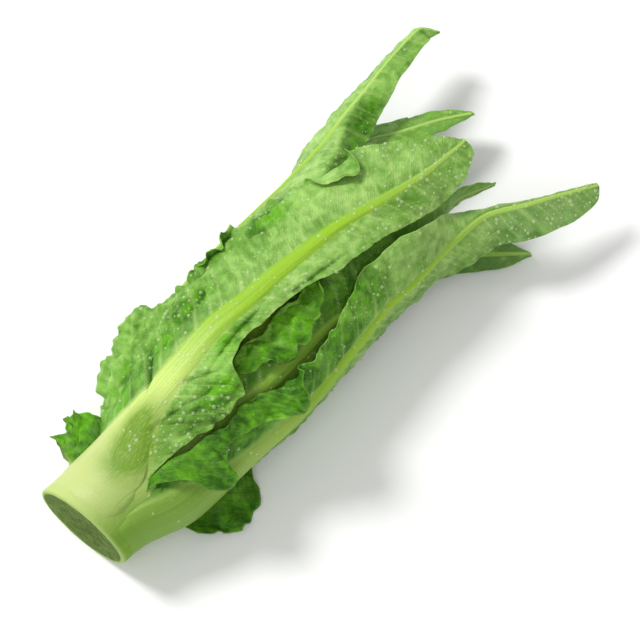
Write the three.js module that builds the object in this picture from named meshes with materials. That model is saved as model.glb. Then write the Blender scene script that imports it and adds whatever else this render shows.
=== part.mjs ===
// A head of a-choy (sword-leaf lettuce), cut and lying on its side: a short cut stem, four outer leaves
// wrapped round it, and eleven inner leaves nested inside them. Millimetres, +Z up.
// The head is laid out along x from the cut face, round its own axis: an angle of 0 is the top of the
// lying head and +90 its right side, seen from the cut end towards the tips. It is then pressed down a
// little, as its weight presses it, and moved so that the middle of its footprint is the origin.
import * as THREE from 'three';

// Driving dimensions
const BLADE = 0.9;
const NEST_STEP = 3.5;
const NEST_FROM = 40;
const NEST_TO = 100;
const TOP_PRESS = 0.96;
const PRESS_BLEND = 10;
const CUT_SLANT = 0.096;
const CUT_BLEND = 20;

// A margin swings slowly, at a pace that drifts, with a quicker swing over it. Its lobes are short and long.
const SLOW_SWING = 0.75;
const PACE_DRIFT = 1.2;
const DRIFT_PACE = 0.37;
const QUICK_SWING = 0.35;
const QUICK_PACE = 1.83;
const SHORT_LOBE = { share: 0.6, length: 23, shift: 2.3 };
const LONG_LOBE = { share: 0.4, length: 37, shift: 1 };

// The axis rises from the cut stem to the belly and bows sideways. The underside flattens where it rests.
const AXIS_HEIGHT = [[0, 27.3], [40, 29], [80, 32], [130, 34.2], [200, 33.5], [260, 31], [330, 27]];
const AXIS_SIDE = [[0, 0], [14, -2.5], [40, -8.5], [80, -8.5], [140, -8], [180, -10], [250, -12],
  [330, -14]];
const UNDER_PRESS = [[0, 1], [14, 0.97], [40, 0.86], [130, 0.86], [330, 0.84]];
const SIDE_SPREAD = [[0, 1], [60, 1.02], [130, 1.08], [330, 1.08]];

// Distance from the axis to the middle of a leaf, for each ring of leaves, against x.
const RINGS = {
  outer: [[14, 23.75], [28, 27.2], [42, 31], [64, 36.5], [92, 42.5], [111, 45.3], [130, 46.3],
    [160, 46.5], [190, 45.5], [216, 44], [245, 41], [274, 37], [330, 32]],
  second: [[28, 20], [42, 24], [64, 28.3], [92, 32.2], [111, 34.8], [130, 35.7], [160, 36], [190, 35.2],
    [216, 34], [245, 31.5], [280, 28]],
  inner: [[40, 15], [64, 19.5], [92, 22.2], [130, 25], [170, 25.5], [210, 25], [250, 22]],
  heart: [[50, 9], [92, 12.5], [130, 15], [170, 15.5], [210, 14]],
};

const radians = THREE.MathUtils.degToRad;
const { clamp, lerp, smoothstep } = THREE.MathUtils;

// Value of a table of [x, value] rows at x, along a smooth curve that doesn't overshoot its rows.
function along(rows, x) {
  if (typeof rows === 'number') return rows;
  const n = rows.length;
  if (x <= rows[0][0]) return rows[0][1];
  if (x >= rows[n - 1][0]) return rows[n - 1][1];
  const slope = (i) => (rows[i + 1][1] - rows[i][1]) / (rows[i + 1][0] - rows[i][0]);
  const tangent = (i) => {
    if (i === 0) return slope(0);
    if (i === n - 1) return slope(n - 2);
    const before = slope(i - 1);
    const after = slope(i);
    return before * after <= 0 ? 0 : (2 * before * after) / (before + after);
  };
  let i = 0;
  while (x > rows[i + 1][0]) i += 1;
  const span = rows[i + 1][0] - rows[i][0];
  const t = (x - rows[i][0]) / span;
  const rise = rows[i + 1][1] - rows[i][1];
  const m0 = tangent(i) * span;
  const m1 = tangent(i + 1) * span;
  return rows[i][1] + m0 * t + (3 * rise - 2 * m0 - m1) * t * t + (m0 + m1 - 2 * rise) * t * t * t;
}

// From the round head to the lying one. The cut face leans back at its top.
function layDown(p) {
  const under = along(UNDER_PRESS, p.x);
  const mean = (TOP_PRESS + under) / 2;
  const half = (TOP_PRESS - under) / 2;
  const bend = Math.hypot(p.z, PRESS_BLEND) - PRESS_BLEND;
  const y = along(AXIS_SIDE, p.x) + p.y * along(SIDE_SPREAD, p.x);
  const rise = p.z * mean + bend * half;
  const lean = CUT_SLANT * rise * Math.max(0, 1 - p.x / CUT_BLEND);
  return new THREE.Vector3(p.x + lean, y, along(AXIS_HEIGHT, p.x) + rise);
}

function polar(x, angle, radius) {
  return new THREE.Vector3(x, -radius * Math.sin(angle), radius * Math.cos(angle));
}

// Leaves deeper in a ring lie inside their neighbours once they leave the stem.
function leafRadius(leaf, x) {
  const nested = NEST_STEP * leaf.depth * smoothstep(x, NEST_FROM, NEST_TO);
  return along(RINGS[leaf.ring], x) - nested + along(leaf.lift, x);
}

// How far the free end of a leaf has moved off its place round the axis.
function drift(leaf, x) {
  return new THREE.Vector3(0, along(leaf.sway, x), along(leaf.rise, x));
}

function midrib(leaf, x) {
  return polar(x, radians(along(leaf.angle, x)), leafRadius(leaf, x)).add(drift(leaf, x));
}

// How far the blade turns out from lying round the head, at the share q from rib to margin.
function turn(side, x, q) {
  const phase = (2 * Math.PI * x) / side.waveLength + side.phase;
  const slow = SLOW_SWING * Math.sin(phase + PACE_DRIFT * Math.sin(phase * DRIFT_PACE));
  const quick = QUICK_SWING * Math.sin(phase * QUICK_PACE + 2 * side.phase);
  let degrees = along(side.wave, x) * (slow + quick) * smoothstep(q, 0.25, 1);
  for (const fold of side.folds) {
    const at = along(fold.at, x);
    degrees += along(fold.angle, x) * smoothstep(q, at - fold.length / 2, at + fold.length / 2);
  }
  return radians(degrees);
}

// Half width from the middle of the rib to the margin, with its lobes.
function halfWidth(side, x) {
  const lobe = (kind) => kind.share * Math.sin((2 * Math.PI * x) / kind.length + side.phase * kind.shift);
  return along(side.width, x) * (1 + along(side.lobe, x) * (lobe(SHORT_LOBE) + lobe(LONG_LOBE)));
}

function ribHalf(leaf, x) {
  return Math.min(along(leaf.rib, x), halfWidth(leaf.left, x), halfWidth(leaf.right, x));
}

// Distances from the rib's middle at which one half of the leaf has its points.
function placesAcross(leaf, side, x) {
  const rib = ribHalf(leaf, x);
  const width = Math.max(halfWidth(side, x), rib + 0.6);
  const overRib = leaf.ribRows.map((q) => q * rib);
  const overBlade = side.rows.map((q) => rib + (width - rib) * along(q, x));
  return [0, ...overRib, ...overBlade];
}

// Points across one half of the leaf at x, wrapped round the head near the stem and free at the tip.
function crossHalf(leaf, side, sign, x, places) {
  const origin = midrib(leaf, x);
  const tangent = midrib(leaf, x + 0.5).sub(midrib(leaf, x - 0.5)).normalize();
  const normal = polar(0, radians(along(leaf.angle, x)), 1);
  normal.addScaledVector(tangent, -normal.dot(tangent)).normalize();
  normal.applyAxisAngle(tangent, radians(along(leaf.roll, x)));
  const across = new THREE.Vector3().crossVectors(tangent, normal);
  const free = smoothstep(x, leaf.free[0], leaf.free[1]);
  const cup = along(leaf.cup, x) / leafRadius(leaf, x);
  const keel = radians(along(leaf.keel, x));
  const rib = ribHalf(leaf, x);
  const blade = Math.max(halfWidth(side, x) - rib, 1);
  const moved = drift(leaf, x);
  let travelled = 0;
  let angle = radians(along(leaf.angle, x));
  let radius = leafRadius(leaf, x);
  let sideways = 0;
  let out = 0;
  return places.map((place) => {
    while (travelled < place - 1e-6) {
      const d = Math.min(0.5, place - travelled);
      const t = travelled + d / 2;
      const bend = turn(side, x, clamp((t - rib) / blade, 0, 1));
      angle += (sign * Math.cos(bend) * d) / radius;
      radius += Math.sin(bend) * d;
      sideways += Math.cos(bend - cup * t - keel) * d;
      out += Math.sin(bend - cup * t - keel) * d;
      travelled += d;
    }
    const wrapped = polar(x, angle, radius).add(moved);
    const spread = origin.clone().addScaledVector(across, sign * sideways).addScaledVector(normal, out);
    return wrapped.lerp(spread, free);
  });
}

// Both faces of a leaf on one grid, the rib thick and the blade thin, kept above the surface below.
// Its end on the stem is square to the axis.
function leafGeometry(leaf) {
  const [from, to] = leaf.reach;
  const grid = [];
  for (let i = 0; i <= leaf.steps; i += 1) {
    const x = lerp(from, to, i / leaf.steps);
    const left = placesAcross(leaf, leaf.left, x);
    const right = placesAcross(leaf, leaf.right, x);
    const leftHalf = crossHalf(leaf, leaf.left, -1, x, left).slice(1).reverse();
    const middle = [...leftHalf, ...crossHalf(leaf, leaf.right, 1, x, right)];
    const rib = ribHalf(leaf, x);
    const roundness = along(leaf.ribShape, x);
    const bulge = [...left.slice(1).reverse(), ...right].map((t) => 1 - Math.min(t / rib, 1) ** roundness);
    grid.push({ x, middle, bulge });
  }
  const columns = grid[0].middle.length;
  const at = (i, j) => grid[clamp(i, 0, leaf.steps)].middle[clamp(j, 0, columns - 1)];
  const outer = [];
  const inner = [];
  grid.forEach(({ x, middle, bulge }, i) => {
    middle.forEach((point, j) => {
      const down = at(i + 1, j).clone().sub(at(i - 1, j));
      const over = at(i, j + 1).clone().sub(at(i, j - 1));
      const normal = over.cross(down).normalize();
      if (i === 0) normal.setX(0).normalize();
      const outwards = BLADE / 2 + along(leaf.ribOut, x) * bulge[j];
      const inwards = BLADE / 2 + along(leaf.ribIn, x) * bulge[j];
      const front = layDown(point.clone().addScaledVector(normal, outwards));
      const back = layDown(point.clone().addScaledVector(normal, -inwards));
      const lift = Math.max(0, -front.z, -back.z);
      front.z += lift;
      back.z += lift;
      outer.push(front);
      inner.push(back);
    });
  });
  return shell(outer, inner, leaf.steps + 1, columns);
}

// A closed skin over two grids of points, with both faces split along the same diagonals.
function shell(outer, inner, rows, columns) {
  const count = rows * columns;
  const index = [];
  const quad = (a, b, c, d) => index.push(a, b, c, a, c, d);
  for (let i = 0; i < rows - 1; i += 1) {
    for (let j = 0; j < columns - 1; j += 1) {
      const a = i * columns + j;
      const b = a + columns;
      quad(a, a + 1, b + 1, b);
      index.push(count + a, count + b + 1, count + a + 1, count + a, count + b, count + b + 1);
    }
    const near = i * columns;
    const far = near + columns - 1;
    quad(near, near + columns, count + near + columns, count + near);
    quad(far, count + far, count + far + columns, far + columns);
  }
  for (let j = 0; j < columns - 1; j += 1) {
    const last = count - columns + j;
    quad(j, count + j, count + j + 1, j + 1);
    quad(last, last + 1, count + last + 1, count + last);
  }
  const geometry = new THREE.BufferGeometry();
  const position = new Float32Array([...outer, ...inner].flatMap((p) => p.toArray()));
  geometry.setAttribute('position', new THREE.BufferAttribute(position, 3));
  geometry.setIndex(index);
  geometry.computeVertexNormals();
  return geometry;
}

// The cut stem: a short butt that the outer leaves grow from, and a core inside them, as [x, radius].
const STEM_PROFILE = [[0, 0], [0, 14], [0, 26.2], [0.9, 27.3], [13.6, 27.2], [13.7, 19.8], [27.5, 22.2],
  [27.6, 16.5], [39.5, 17.8], [39.6, 11.5], [49.5, 12], [49.6, 5.8], [58, 3.4], [62, 0]];
const STEM_SIDES = 24;

function stemGeometry() {
  const outline = STEM_PROFILE.map(([x, radius]) => new THREE.Vector2(radius, x));
  const geometry = new THREE.LatheGeometry(outline, STEM_SIDES);
  geometry.rotateZ(-Math.PI / 2);
  const position = geometry.attributes.position;
  const point = new THREE.Vector3();
  for (let i = 0; i < position.count; i += 1) {
    point.fromBufferAttribute(position, i);
    const laid = layDown(point);
    position.setXYZ(i, laid.x, laid.y, Math.max(laid.z, 0));
  }
  geometry.computeVertexNormals();
  return geometry;
}

// What leaves of one ring have in common.
const OUTER = {
  ring: 'outer',
  ribRows: [0.5, 0.85, 1],
  ribOut: [[14, 3], [40, 2.8], [64, 2.3], [92, 1.9], [130, 1.4], [190, 1], [245, 0.6], [330, 0.3]],
  ribIn: [[14, 2.9], [40, 2], [70, 1], [110, 0.5], [270, 0.1]],
  ribShape: [[14, 9], [45, 4], [90, 2.4]],
};
const SECOND = {
  ring: 'second',
  steps: 16,
  ribRows: [1],
  rib: [[28, 11.4], [45, 9.5], [70, 7], [130, 3.6], [240, 1.2]],
  ribOut: [[28, 2.4], [64, 2], [92, 1.6], [130, 1.1], [240, 0.4]],
  ribIn: [[28, 2.4], [64, 1.2], [110, 0.4]],
  ribShape: 2.4,
};
const INNER = {
  ring: 'inner',
  steps: 11,
  ribRows: [1],
  rib: [[40, 9], [70, 6], [130, 3], [220, 1.2]],
  ribOut: [[40, 2.2], [80, 1.2], [130, 0.8], [220, 0.3]],
  ribIn: [[40, 2], [80, 0.7], [130, 0.2]],
  ribShape: 2.4,
};
const HEART = {
  ring: 'heart',
  steps: 9,
  ribRows: [1],
  rib: [[50, 6], [90, 4], [190, 1.5]],
  ribOut: [[50, 1.5], [90, 0.8], [190, 0.3]],
  ribIn: [[50, 1.5], [90, 0.3]],
  ribShape: 2.2,
};

// A leaf lies round the head with no drift, roll or keel unless its own values say otherwise.
function leafOf(common, own) {
  const plain = { depth: 0, lift: 0, sway: 0, rise: 0, roll: 0, cup: 1, keel: 0, free: [205, 250] };
  const half = { wave: 0, waveLength: 27, phase: 0, lobe: 0, folds: [], rows: [0.33, 0.66, 1] };
  return { ...plain, ...common, ...own, left: { ...half, ...own.left }, right: { ...half, ...own.right } };
}

// A leaf that is alike on both sides of its rib
function evenLeaf(common, own) {
  const { width, wave, phase, ...rest } = own;
  const left = { width, wave, phase };
  return leafOf(common, { ...rest, left, right: { ...left, phase: phase + 2 } });
}

// Where the margins of three leaves turn back, as shares of the way from rib to margin: the lower edge of
// the right leaf, the left edge of the front leaf and the left edge of the leaf between them
const FLAP_FOLD = [[34, 0.8], [41, 0.66], [47, 0.56], [50, 0.44], [57, 0.41], [63, 0.45], [67, 0.57],
  [72, 0.67], [78, 0.69], [87, 0.65], [98, 0.59], [106, 0.54], [114, 0.56], [122, 0.73]];
const FRONT_FOLD = [[110, 0.7], [126, 0.9], [132, 0.91], [140, 0.77], [150, 0.77], [158, 0.86],
  [166, 0.92], [200, 0.92], [208, 0.77], [213, 0.685], [218, 0.645], [223, 0.72], [228, 0.92]];
const BETWEEN_FOLD = [[92, 0.9], [102, 0.68], [112, 0.563], [132, 0.472], [150, 0.551], [160, 0.66],
  [168, 0.9]];
const beside = (fold, change) => fold.map(([x, q]) => [x, change(q)]);

const LEAVES = {
  // The broad leaf on top, with a waist on its right and crumpled lobes on its left
  leaf_front: leafOf(OUTER, {
    reach: [14, 277],
    steps: 38,
    angle: [[14, -27], [42, -26], [65, -22], [92, -16], [111, -13], [133, -7], [159, -3], [189, 2],
      [216, 11], [245, 21], [274, 28]],
    rib: [[14, 20], [30, 20], [50, 13], [63, 9], [92, 6.5], [133, 4.7], [190, 3], [245, 1.6],
      [275, 0.8]],
    cup: [[200, 1], [270, 0.5]],
    left: {
      width: [[14, 20.5], [30, 23], [45, 28.5], [50, 32], [55, 45], [63, 53], [80, 54], [96, 47],
        [112, 39], [124, 35], [132, 40], [140, 46], [150, 47], [158, 43], [164, 39], [175, 38],
        [190, 35.5], [203, 33], [208, 36], [213, 40], [218, 42], [223, 38], [227, 29], [232, 25],
        [243, 21], [265, 10], [274, 4], [277, 0.9]],
      wave: [[40, 0], [55, 10], [105, 12], [130, 7], [200, 4], [260, 3]],
      lobe: [[40, 0], [55, 0.03], [110, 0.04], [140, 0.03], [160, 0], [250, 0.01]],
      waveLength: 31,
      phase: 0.6,
      folds: [
        { at: 0.62, length: 0.45, angle: [[40, 0], [57, 46], [95, 44], [118, 0]] },
        {
          at: FRONT_FOLD,
          length: 0.1,
          angle: [[126, 0], [134, 120], [156, 140], [165, 0], [202, 0], [208, 165], [221, 166],
            [228, 0]],
        },
      ],
      rows: [0.2, beside(FRONT_FOLD, (q) => q / 1.6), beside(FRONT_FOLD, (q) => q - 0.06),
        beside(FRONT_FOLD, (q) => q + 0.06), beside(FRONT_FOLD, (q) => (q + 1.06) / 2), 1],
    },
    right: {
      width: [[14, 25], [24, 24.6], [30, 23.3], [37, 22.3], [47, 24.4], [57, 26.8], [83, 33], [95, 32.5],
        [104, 17], [120, 14], [150, 13], [177, 17.5], [209, 17], [237, 18], [257, 16], [269, 12],
        [277, 6]],
      wave: [[60, 0], [80, 5], [100, 0], [200, 3]],
      lobe: [[60, 0], [85, 0.03], [110, 0.05], [160, 0.02]],
      phase: 2,
    },
  }),
  // The right leaf, its lower edge turned back over its own stalk and its tip reaching out
  leaf_right: leafOf(OUTER, {
    reach: [14, 312],
    steps: 34,
    depth: 1,
    angle: [[14, 83], [24, 82], [42, 80], [80, 80], [131, 79], [155, 75], [180, 71], [200, 71],
      [226, 72], [252, 74], [277, 80], [293, 84], [312, 87]],
    lift: [[185, 0], [200, 3], [226, 5.4], [252, 10.4], [277, 26], [293, 35], [312, 47]],
    rib: [[14, 19], [30, 20], [50, 15], [70, 9], [92, 7], [133, 4.7], [190, 3], [245, 1.8], [310, 0.8]],
    cup: [[180, 1], [230, 0.4], [300, 0]],
    roll: [[218, 0], [250, -32], [275, -52], [312, -58]],
    free: [195, 235],
    left: {
      width: [[14, 19.7], [24, 24], [30, 28], [34, 33], [37, 37], [41, 41], [47, 48], [50, 59], [57, 64],
        [63, 61], [67, 51], [72, 45], [78, 43], [87, 46], [98, 54], [106, 50], [114, 42], [122, 30],
        [131, 24], [150, 23], [178, 27], [208, 29], [231, 19], [252, 8], [312, 0.9]],
      wave: [[30, 0], [45, 7], [75, 7], [100, 4], [210, 3]],
      lobe: [[40, 0], [55, 0.04], [75, 0.03], [120, 0.02]],
      waveLength: 19,
      phase: 1,
      folds: [
        { at: FLAP_FOLD, length: 0.15, angle: [[26, 0], [36, 158], [84, 160], [110, 125], [126, 0]] },
        { at: 0.2, length: 0.4, angle: [[232, 0], [258, -95]] },
      ],
      rows: [beside(FLAP_FOLD, (q) => q / 2), beside(FLAP_FOLD, (q) => q - 0.07), FLAP_FOLD,
        beside(FLAP_FOLD, (q) => q + 0.07), beside(FLAP_FOLD, (q) => (q + 1) / 2), 1],
    },
    right: {
      width: [[14, 18], [40, 20], [60, 22], [80, 28], [130, 34], [195, 31], [235, 21], [255, 18],
        [270, 18], [295, 15], [306, 11], [312, 6]],
      wave: [[60, 0], [100, 4], [200, 4], [290, 2]],
      lobe: [[60, 0], [100, 0.03]],
      phase: 4,
      rows: [0.25, 0.5, 0.75, 1],
    },
  }),
  // The left leaf, creased near its hooked tip, its lower edge turned out in a frill
  leaf_left: leafOf(OUTER, {
    reach: [14, 331],
    steps: 34,
    depth: 1,
    angle: [[14, -112], [40, -110], [70, -100], [100, -86], [136, -76], [182, -73], [213, -65],
      [263, -67], [304, -70], [324, -73], [331, -72]],
    lift: [[200, 0], [230, 2.5], [263, 9], [304, 15.3], [324, 16.5], [331, 8.5]],
    rib: [[14, 12], [30, 12], [50, 9], [70, 7.5], [92, 6], [133, 4.7], [190, 3], [245, 1.8], [330, 0.8]],
    cup: [[180, 1], [230, 0.5], [300, 0.2]],
    roll: [[200, 0], [240, 14], [331, 14]],
    free: [195, 235],
    left: {
      width: [[14, 13], [40, 15], [60, 22], [100, 32], [150, 34], [200, 26], [225, 18], [280, 10],
        [310, 7], [322, 6], [331, 0.9]],
      wave: [[60, 0], [90, 6], [200, 5], [300, 3]],
      lobe: [[60, 0], [100, 0.04]],
      phase: 5,
    },
    right: {
      width: [[14, 12.5], [21, 13.6], [27, 36], [42, 38], [47, 27], [51, 14.5], [58, 15], [68, 26],
        [80, 31], [136, 34], [190, 34], [221, 30], [248, 22], [272, 14.5], [294, 11], [310, 9.5],
        [322, 7], [331, 0.9]],
      wave: [[20, 0], [28, 24], [44, 24], [52, 0], [200, 2]],
      lobe: [[20, 0], [30, 0.1], [45, 0.06], [52, 0], [90, 0.02]],
      waveLength: 17,
      phase: 3,
      folds: [
        { at: 0.16, length: 0.24, angle: [[17, 0], [25, 104], [44, 100], [56, 0]] },
        {
          at: [[205, 0.9], [221, 0.66], [269, 0.05]],
          length: 0.12,
          angle: [[200, 0], [222, -55], [290, -45]],
        },
      ],
      rows: [0.1, 0.25, 0.5, 0.75, 1],
    },
  }),
  // The leaf underneath, flattened where the head rests, with one edge spread along the surface
  leaf_under: leafOf(OUTER, {
    reach: [14, 268],
    steps: 26,
    depth: 2,
    ribRows: [0.6, 1],
    angle: [[14, 172], [130, 172], [170, 168], [200, 163], [268, 160]],
    sway: [[195, 0], [215, -7], [239, -24], [255, -43], [268, -59]],
    rise: [[200, 0], [240, -2], [268, 0]],
    rib: [[14, 15], [30, 15], [50, 12], [70, 9], [92, 6.5], [133, 4.7], [190, 3], [245, 1.8],
      [268, 0.8]],
    cup: [[180, 1], [220, 0.2]],
    free: [190, 225],
    left: {
      width: [[14, 16], [30, 17], [42, 42], [56, 47], [70, 43], [82, 30], [100, 30], [150, 32],
        [200, 24], [240, 14], [258, 9], [268, 0.9]],
      wave: [[30, 0], [45, 9], [78, 9], [100, 2], [210, 3]],
      lobe: [[30, 0], [50, 0.1], [85, 0.04]],
      waveLength: 24,
      phase: 2.5,
      folds: [{ at: 0.08, length: 0.2, angle: [[28, 0], [40, 48], [72, 48], [88, 0]] }],
      rows: [0.12, 0.3, 0.5, 0.75, 1],
    },
    right: {
      width: [[14, 15], [40, 17], [60, 22], [100, 32], [150, 32], [200, 26], [240, 16], [258, 10],
        [268, 0.9]],
      wave: [[100, 0], [150, 2], [210, 3]],
      lobe: [[60, 0], [100, 0.03]],
      phase: 1.5,
    },
  }),
  // The second ring: five leaves, of which two show between the outer ones
  leaf_between: leafOf(SECOND, {
    reach: [28, 282],
    steps: 28,
    ribRows: [0.6, 1],
    angle: [[28, 28], [60, 34], [98, 42], [141, 48], [180, 56], [220, 72], [255, 90], [282, 100]],
    lift: [[200, 0], [255, -3], [282, 8]],
    free: [200, 245],
    cup: [[200, 1], [250, 0.5]],
    left: {
      width: [[28, 12], [60, 15.5], [84, 20], [94, 24], [102, 31], [112, 39], [124, 42], [132, 48],
        [142, 46], [150, 41], [158, 38], [166, 27], [180, 25], [200, 22], [255, 12], [272, 8],
        [282, 0.9]],
      wave: [[85, 0], [105, 7], [160, 7], [180, 3]],
      lobe: [[90, 0], [110, 0.06], [160, 0.06], [180, 0.02]],
      waveLength: 21,
      phase: 0.4,
      folds: [{ at: BETWEEN_FOLD, length: 0.1, angle: [[91, 0], [101, 158], [158, 160], [168, 0]] }],
      rows: [beside(BETWEEN_FOLD, (q) => q / 2), beside(BETWEEN_FOLD, (q) => q - 0.07),
        beside(BETWEEN_FOLD, (q) => q + 0.07), beside(BETWEEN_FOLD, (q) => (q + 1.07) / 2), 1],
    },
    right: {
      width: [[28, 12], [60, 15.5], [100, 26], [150, 30], [200, 24], [255, 12], [272, 8], [282, 0.9]],
      wave: 2,
      phase: 2.2,
    },
  }),
  leaf_behind: leafOf(SECOND, {
    reach: [28, 308],
    steps: 24,
    depth: 1,
    angle: [[28, -45], [60, -50], [150, -58], [200, -68], [230, -80], [255, -88]],
    lift: [[220, 0], [255, 0.6], [300, 3]],
    sway: [[240, 0], [255, -1], [271, -9], [288, -18], [308, -31]],
    rise: [[280, 0], [308, -4]],
    roll: [[236, 0], [266, 50], [308, 60]],
    free: [205, 245],
    cup: [[200, 1], [250, 0.2]],
    left: {
      width: [[28, 12], [60, 15.5], [100, 26], [150, 30], [200, 24], [250, 16], [280, 11], [298, 7],
        [308, 0.9]],
      wave: 2,
      phase: 1.4,
    },
    right: {
      width: [[28, 12], [60, 15.5], [100, 26], [150, 30], [200, 25], [230, 22], [250, 18], [280, 13],
        [298, 8], [308, 0.9]],
      wave: 2,
      phase: 3.2,
    },
  }),
  leaf_lower_left: evenLeaf(SECOND, {
    reach: [28, 232],
    angle: [[28, -117], [60, -119], [180, -123], [232, -130]],
    width: [[28, 12], [60, 15.5], [120, 29], [175, 24], [210, 15], [225, 8], [232, 0.9]],
    wave: 2,
    phase: 4,
  }),
  leaf_lower_right: evenLeaf(SECOND, {
    reach: [28, 254],
    depth: 2,
    angle: [[28, 100], [60, 103], [120, 114], [254, 124]],
    width: [[28, 12], [60, 15.5], [120, 29], [190, 26], [232, 15], [247, 8], [254, 0.9]],
    wave: 2,
    phase: 5,
  }),
  leaf_lower_middle: evenLeaf(SECOND, {
    reach: [28, 246],
    depth: 1,
    angle: [[28, 172], [60, 172], [120, 180], [246, 186]],
    width: [[28, 12], [60, 15.5], [120, 28], [190, 25], [226, 15], [239, 8], [246, 0.9]],
    wave: 2,
    phase: 6,
  }),
  // The young leaves packed inside
  leaf_young_top: evenLeaf(INNER, {
    reach: [40, 224],
    angle: [[40, 0], [224, 8]],
    width: [[40, 10], [70, 15], [120, 22], [180, 20], [212, 10], [224, 0.9]],
    wave: 2,
    phase: 0,
  }),
  leaf_young_right: evenLeaf(INNER, {
    reach: [40, 236],
    depth: 1,
    angle: [[40, 90], [236, 84]],
    width: [[40, 10], [70, 15], [120, 22], [180, 20], [222, 10], [236, 0.9]],
    wave: 2,
    phase: 1,
  }),
  leaf_young_left: evenLeaf(INNER, {
    reach: [40, 230],
    depth: 1,
    angle: [[40, -90], [230, -84]],
    width: [[40, 10], [70, 15], [120, 22], [180, 20], [218, 10], [230, 0.9]],
    wave: 2,
    phase: 3,
  }),
  leaf_young_under: evenLeaf(INNER, {
    reach: [40, 214],
    angle: [[40, 180], [214, 176]],
    width: [[40, 10], [70, 15], [120, 20], [180, 18], [204, 9], [214, 0.9]],
    wave: 2,
    phase: 5,
  }),
  leaf_heart_right: evenLeaf(HEART, {
    reach: [50, 202],
    angle: 55,
    width: [[50, 8], [90, 14], [150, 16], [190, 8], [202, 0.9]],
    wave: 2,
    phase: 2,
  }),
  leaf_heart_left: evenLeaf(HEART, {
    reach: [50, 190],
    angle: -125,
    width: [[50, 8], [90, 14], [150, 16], [180, 8], [190, 0.9]],
    wave: 2,
    phase: 4,
  }),
};

// Colours of the cut stem and of the leaves, paler towards the heart
const STEM_COLOUR = 0xa9c877;
const LEAF_COLOURS = { outer: 0x7fb04c, second: 0x8cba58, inner: 0xa9ca70, heart: 0xc4d98c };

function leafMaterial(ring) {
  return new THREE.MeshStandardMaterial({ color: LEAF_COLOURS[ring], roughness: 0.5, metalness: 0 });
}

function namedMesh(name, geometry, material) {
  const mesh = new THREE.Mesh(geometry, material);
  mesh.name = name;
  return mesh;
}

const head = new THREE.Group();
const stemMaterial = new THREE.MeshStandardMaterial({ color: STEM_COLOUR, roughness: 0.45, metalness: 0 });
head.add(namedMesh('stem', stemGeometry(), stemMaterial));
for (const [name, leaf] of Object.entries(LEAVES)) {
  head.add(namedMesh(name, leafGeometry(leaf), leafMaterial(leaf.ring)));
}

const box = new THREE.Box3().setFromObject(head);
const middle = box.getCenter(new THREE.Vector3());
head.position.set(-middle.x, -middle.y, -box.min.z);

const lettuce = new THREE.Group();
lettuce.add(head);

export default lettuce;
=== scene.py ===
"""A head of a-choy, the sword-leaf lettuce, cut and lying on its side.

The leaves are grown round the head's own axis, then laid down as their weight lays them. Lengths are
millimetres while a leaf is grown and metres in the finished meshes. An angle of 0 is the top of the lying
head and +90 its right side, seen from the cut end towards the tips.
"""

import logging
import math
from dataclasses import dataclass, replace
from enum import Enum
from typing import Dict, List, Sequence, Tuple, Union

import bmesh
import bpy
import numpy as np
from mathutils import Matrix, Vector


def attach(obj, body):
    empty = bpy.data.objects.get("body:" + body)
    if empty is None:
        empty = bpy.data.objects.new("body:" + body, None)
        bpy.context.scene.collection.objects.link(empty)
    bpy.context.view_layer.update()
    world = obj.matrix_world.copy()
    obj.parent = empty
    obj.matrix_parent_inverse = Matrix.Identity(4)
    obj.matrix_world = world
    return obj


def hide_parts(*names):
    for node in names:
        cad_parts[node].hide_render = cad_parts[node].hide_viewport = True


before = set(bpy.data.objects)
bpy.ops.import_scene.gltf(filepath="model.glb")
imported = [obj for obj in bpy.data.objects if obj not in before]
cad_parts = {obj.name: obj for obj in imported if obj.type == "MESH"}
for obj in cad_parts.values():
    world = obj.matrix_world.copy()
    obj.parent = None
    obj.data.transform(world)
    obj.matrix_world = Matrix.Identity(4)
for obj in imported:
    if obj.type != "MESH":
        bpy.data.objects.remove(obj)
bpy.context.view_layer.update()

LOG = logging.getLogger("lettuce")

Rows = Sequence[Tuple[float, float]]
Value = Union[float, Rows]
Colour = Tuple[float, float, float]
Socket = bpy.types.NodeSocket

MM = 0.001


def along(value: Value, x: np.ndarray) -> np.ndarray:
    """Reads a table of (x, value) rows along a smooth curve that doesn't overshoot them.

    Args:
        value: The table, or one number for everywhere.
        x: Places along the head.

    Returns:
        The value at each place, held at its first and last row beyond them.
    """
    if isinstance(value, (int, float)):
        return np.full(np.shape(x), float(value))
    knots, levels = np.array(value, float).T
    slopes = np.diff(levels) / np.diff(knots)
    before, after = slopes[:-1], slopes[1:]
    agree = before * after > 0
    middle = np.where(agree, 2 * before * after / np.where(agree, before + after, 1), 0)
    tangents = np.concatenate((slopes[:1], middle, slopes[-1:]))
    x = np.clip(x, knots[0], knots[-1])
    i = np.clip(np.searchsorted(knots, x, side="right") - 1, 0, len(knots) - 2)
    span = knots[i + 1] - knots[i]
    t = (x - knots[i]) / span
    rise = levels[i + 1] - levels[i]
    start, end = tangents[i] * span, tangents[i + 1] * span
    return levels[i] + start * t + (3 * rise - 2 * start - end) * t**2 + (start + end - 2 * rise) * t**3


def smooth(x: np.ndarray, low: Union[float, np.ndarray], high: Union[float, np.ndarray]) -> np.ndarray:
    """A soft step from 0 below low to 1 above high."""
    t = np.clip((x - low) / (high - low), 0, 1)
    return t * t * (3 - 2 * t)


def unit(vectors: np.ndarray) -> np.ndarray:
    """The vectors at length 1."""
    return vectors / np.maximum(np.linalg.norm(vectors, axis=-1, keepdims=True), 1e-12)


def polar(x: np.ndarray, angle: np.ndarray, radius: np.ndarray) -> np.ndarray:
    """Points of the round head from places along it, angles in radians and radii."""
    x, angle, radius = np.broadcast_arrays(x, angle, radius)
    return np.stack((x, -radius * np.sin(angle), radius * np.cos(angle)), -1)


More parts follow.
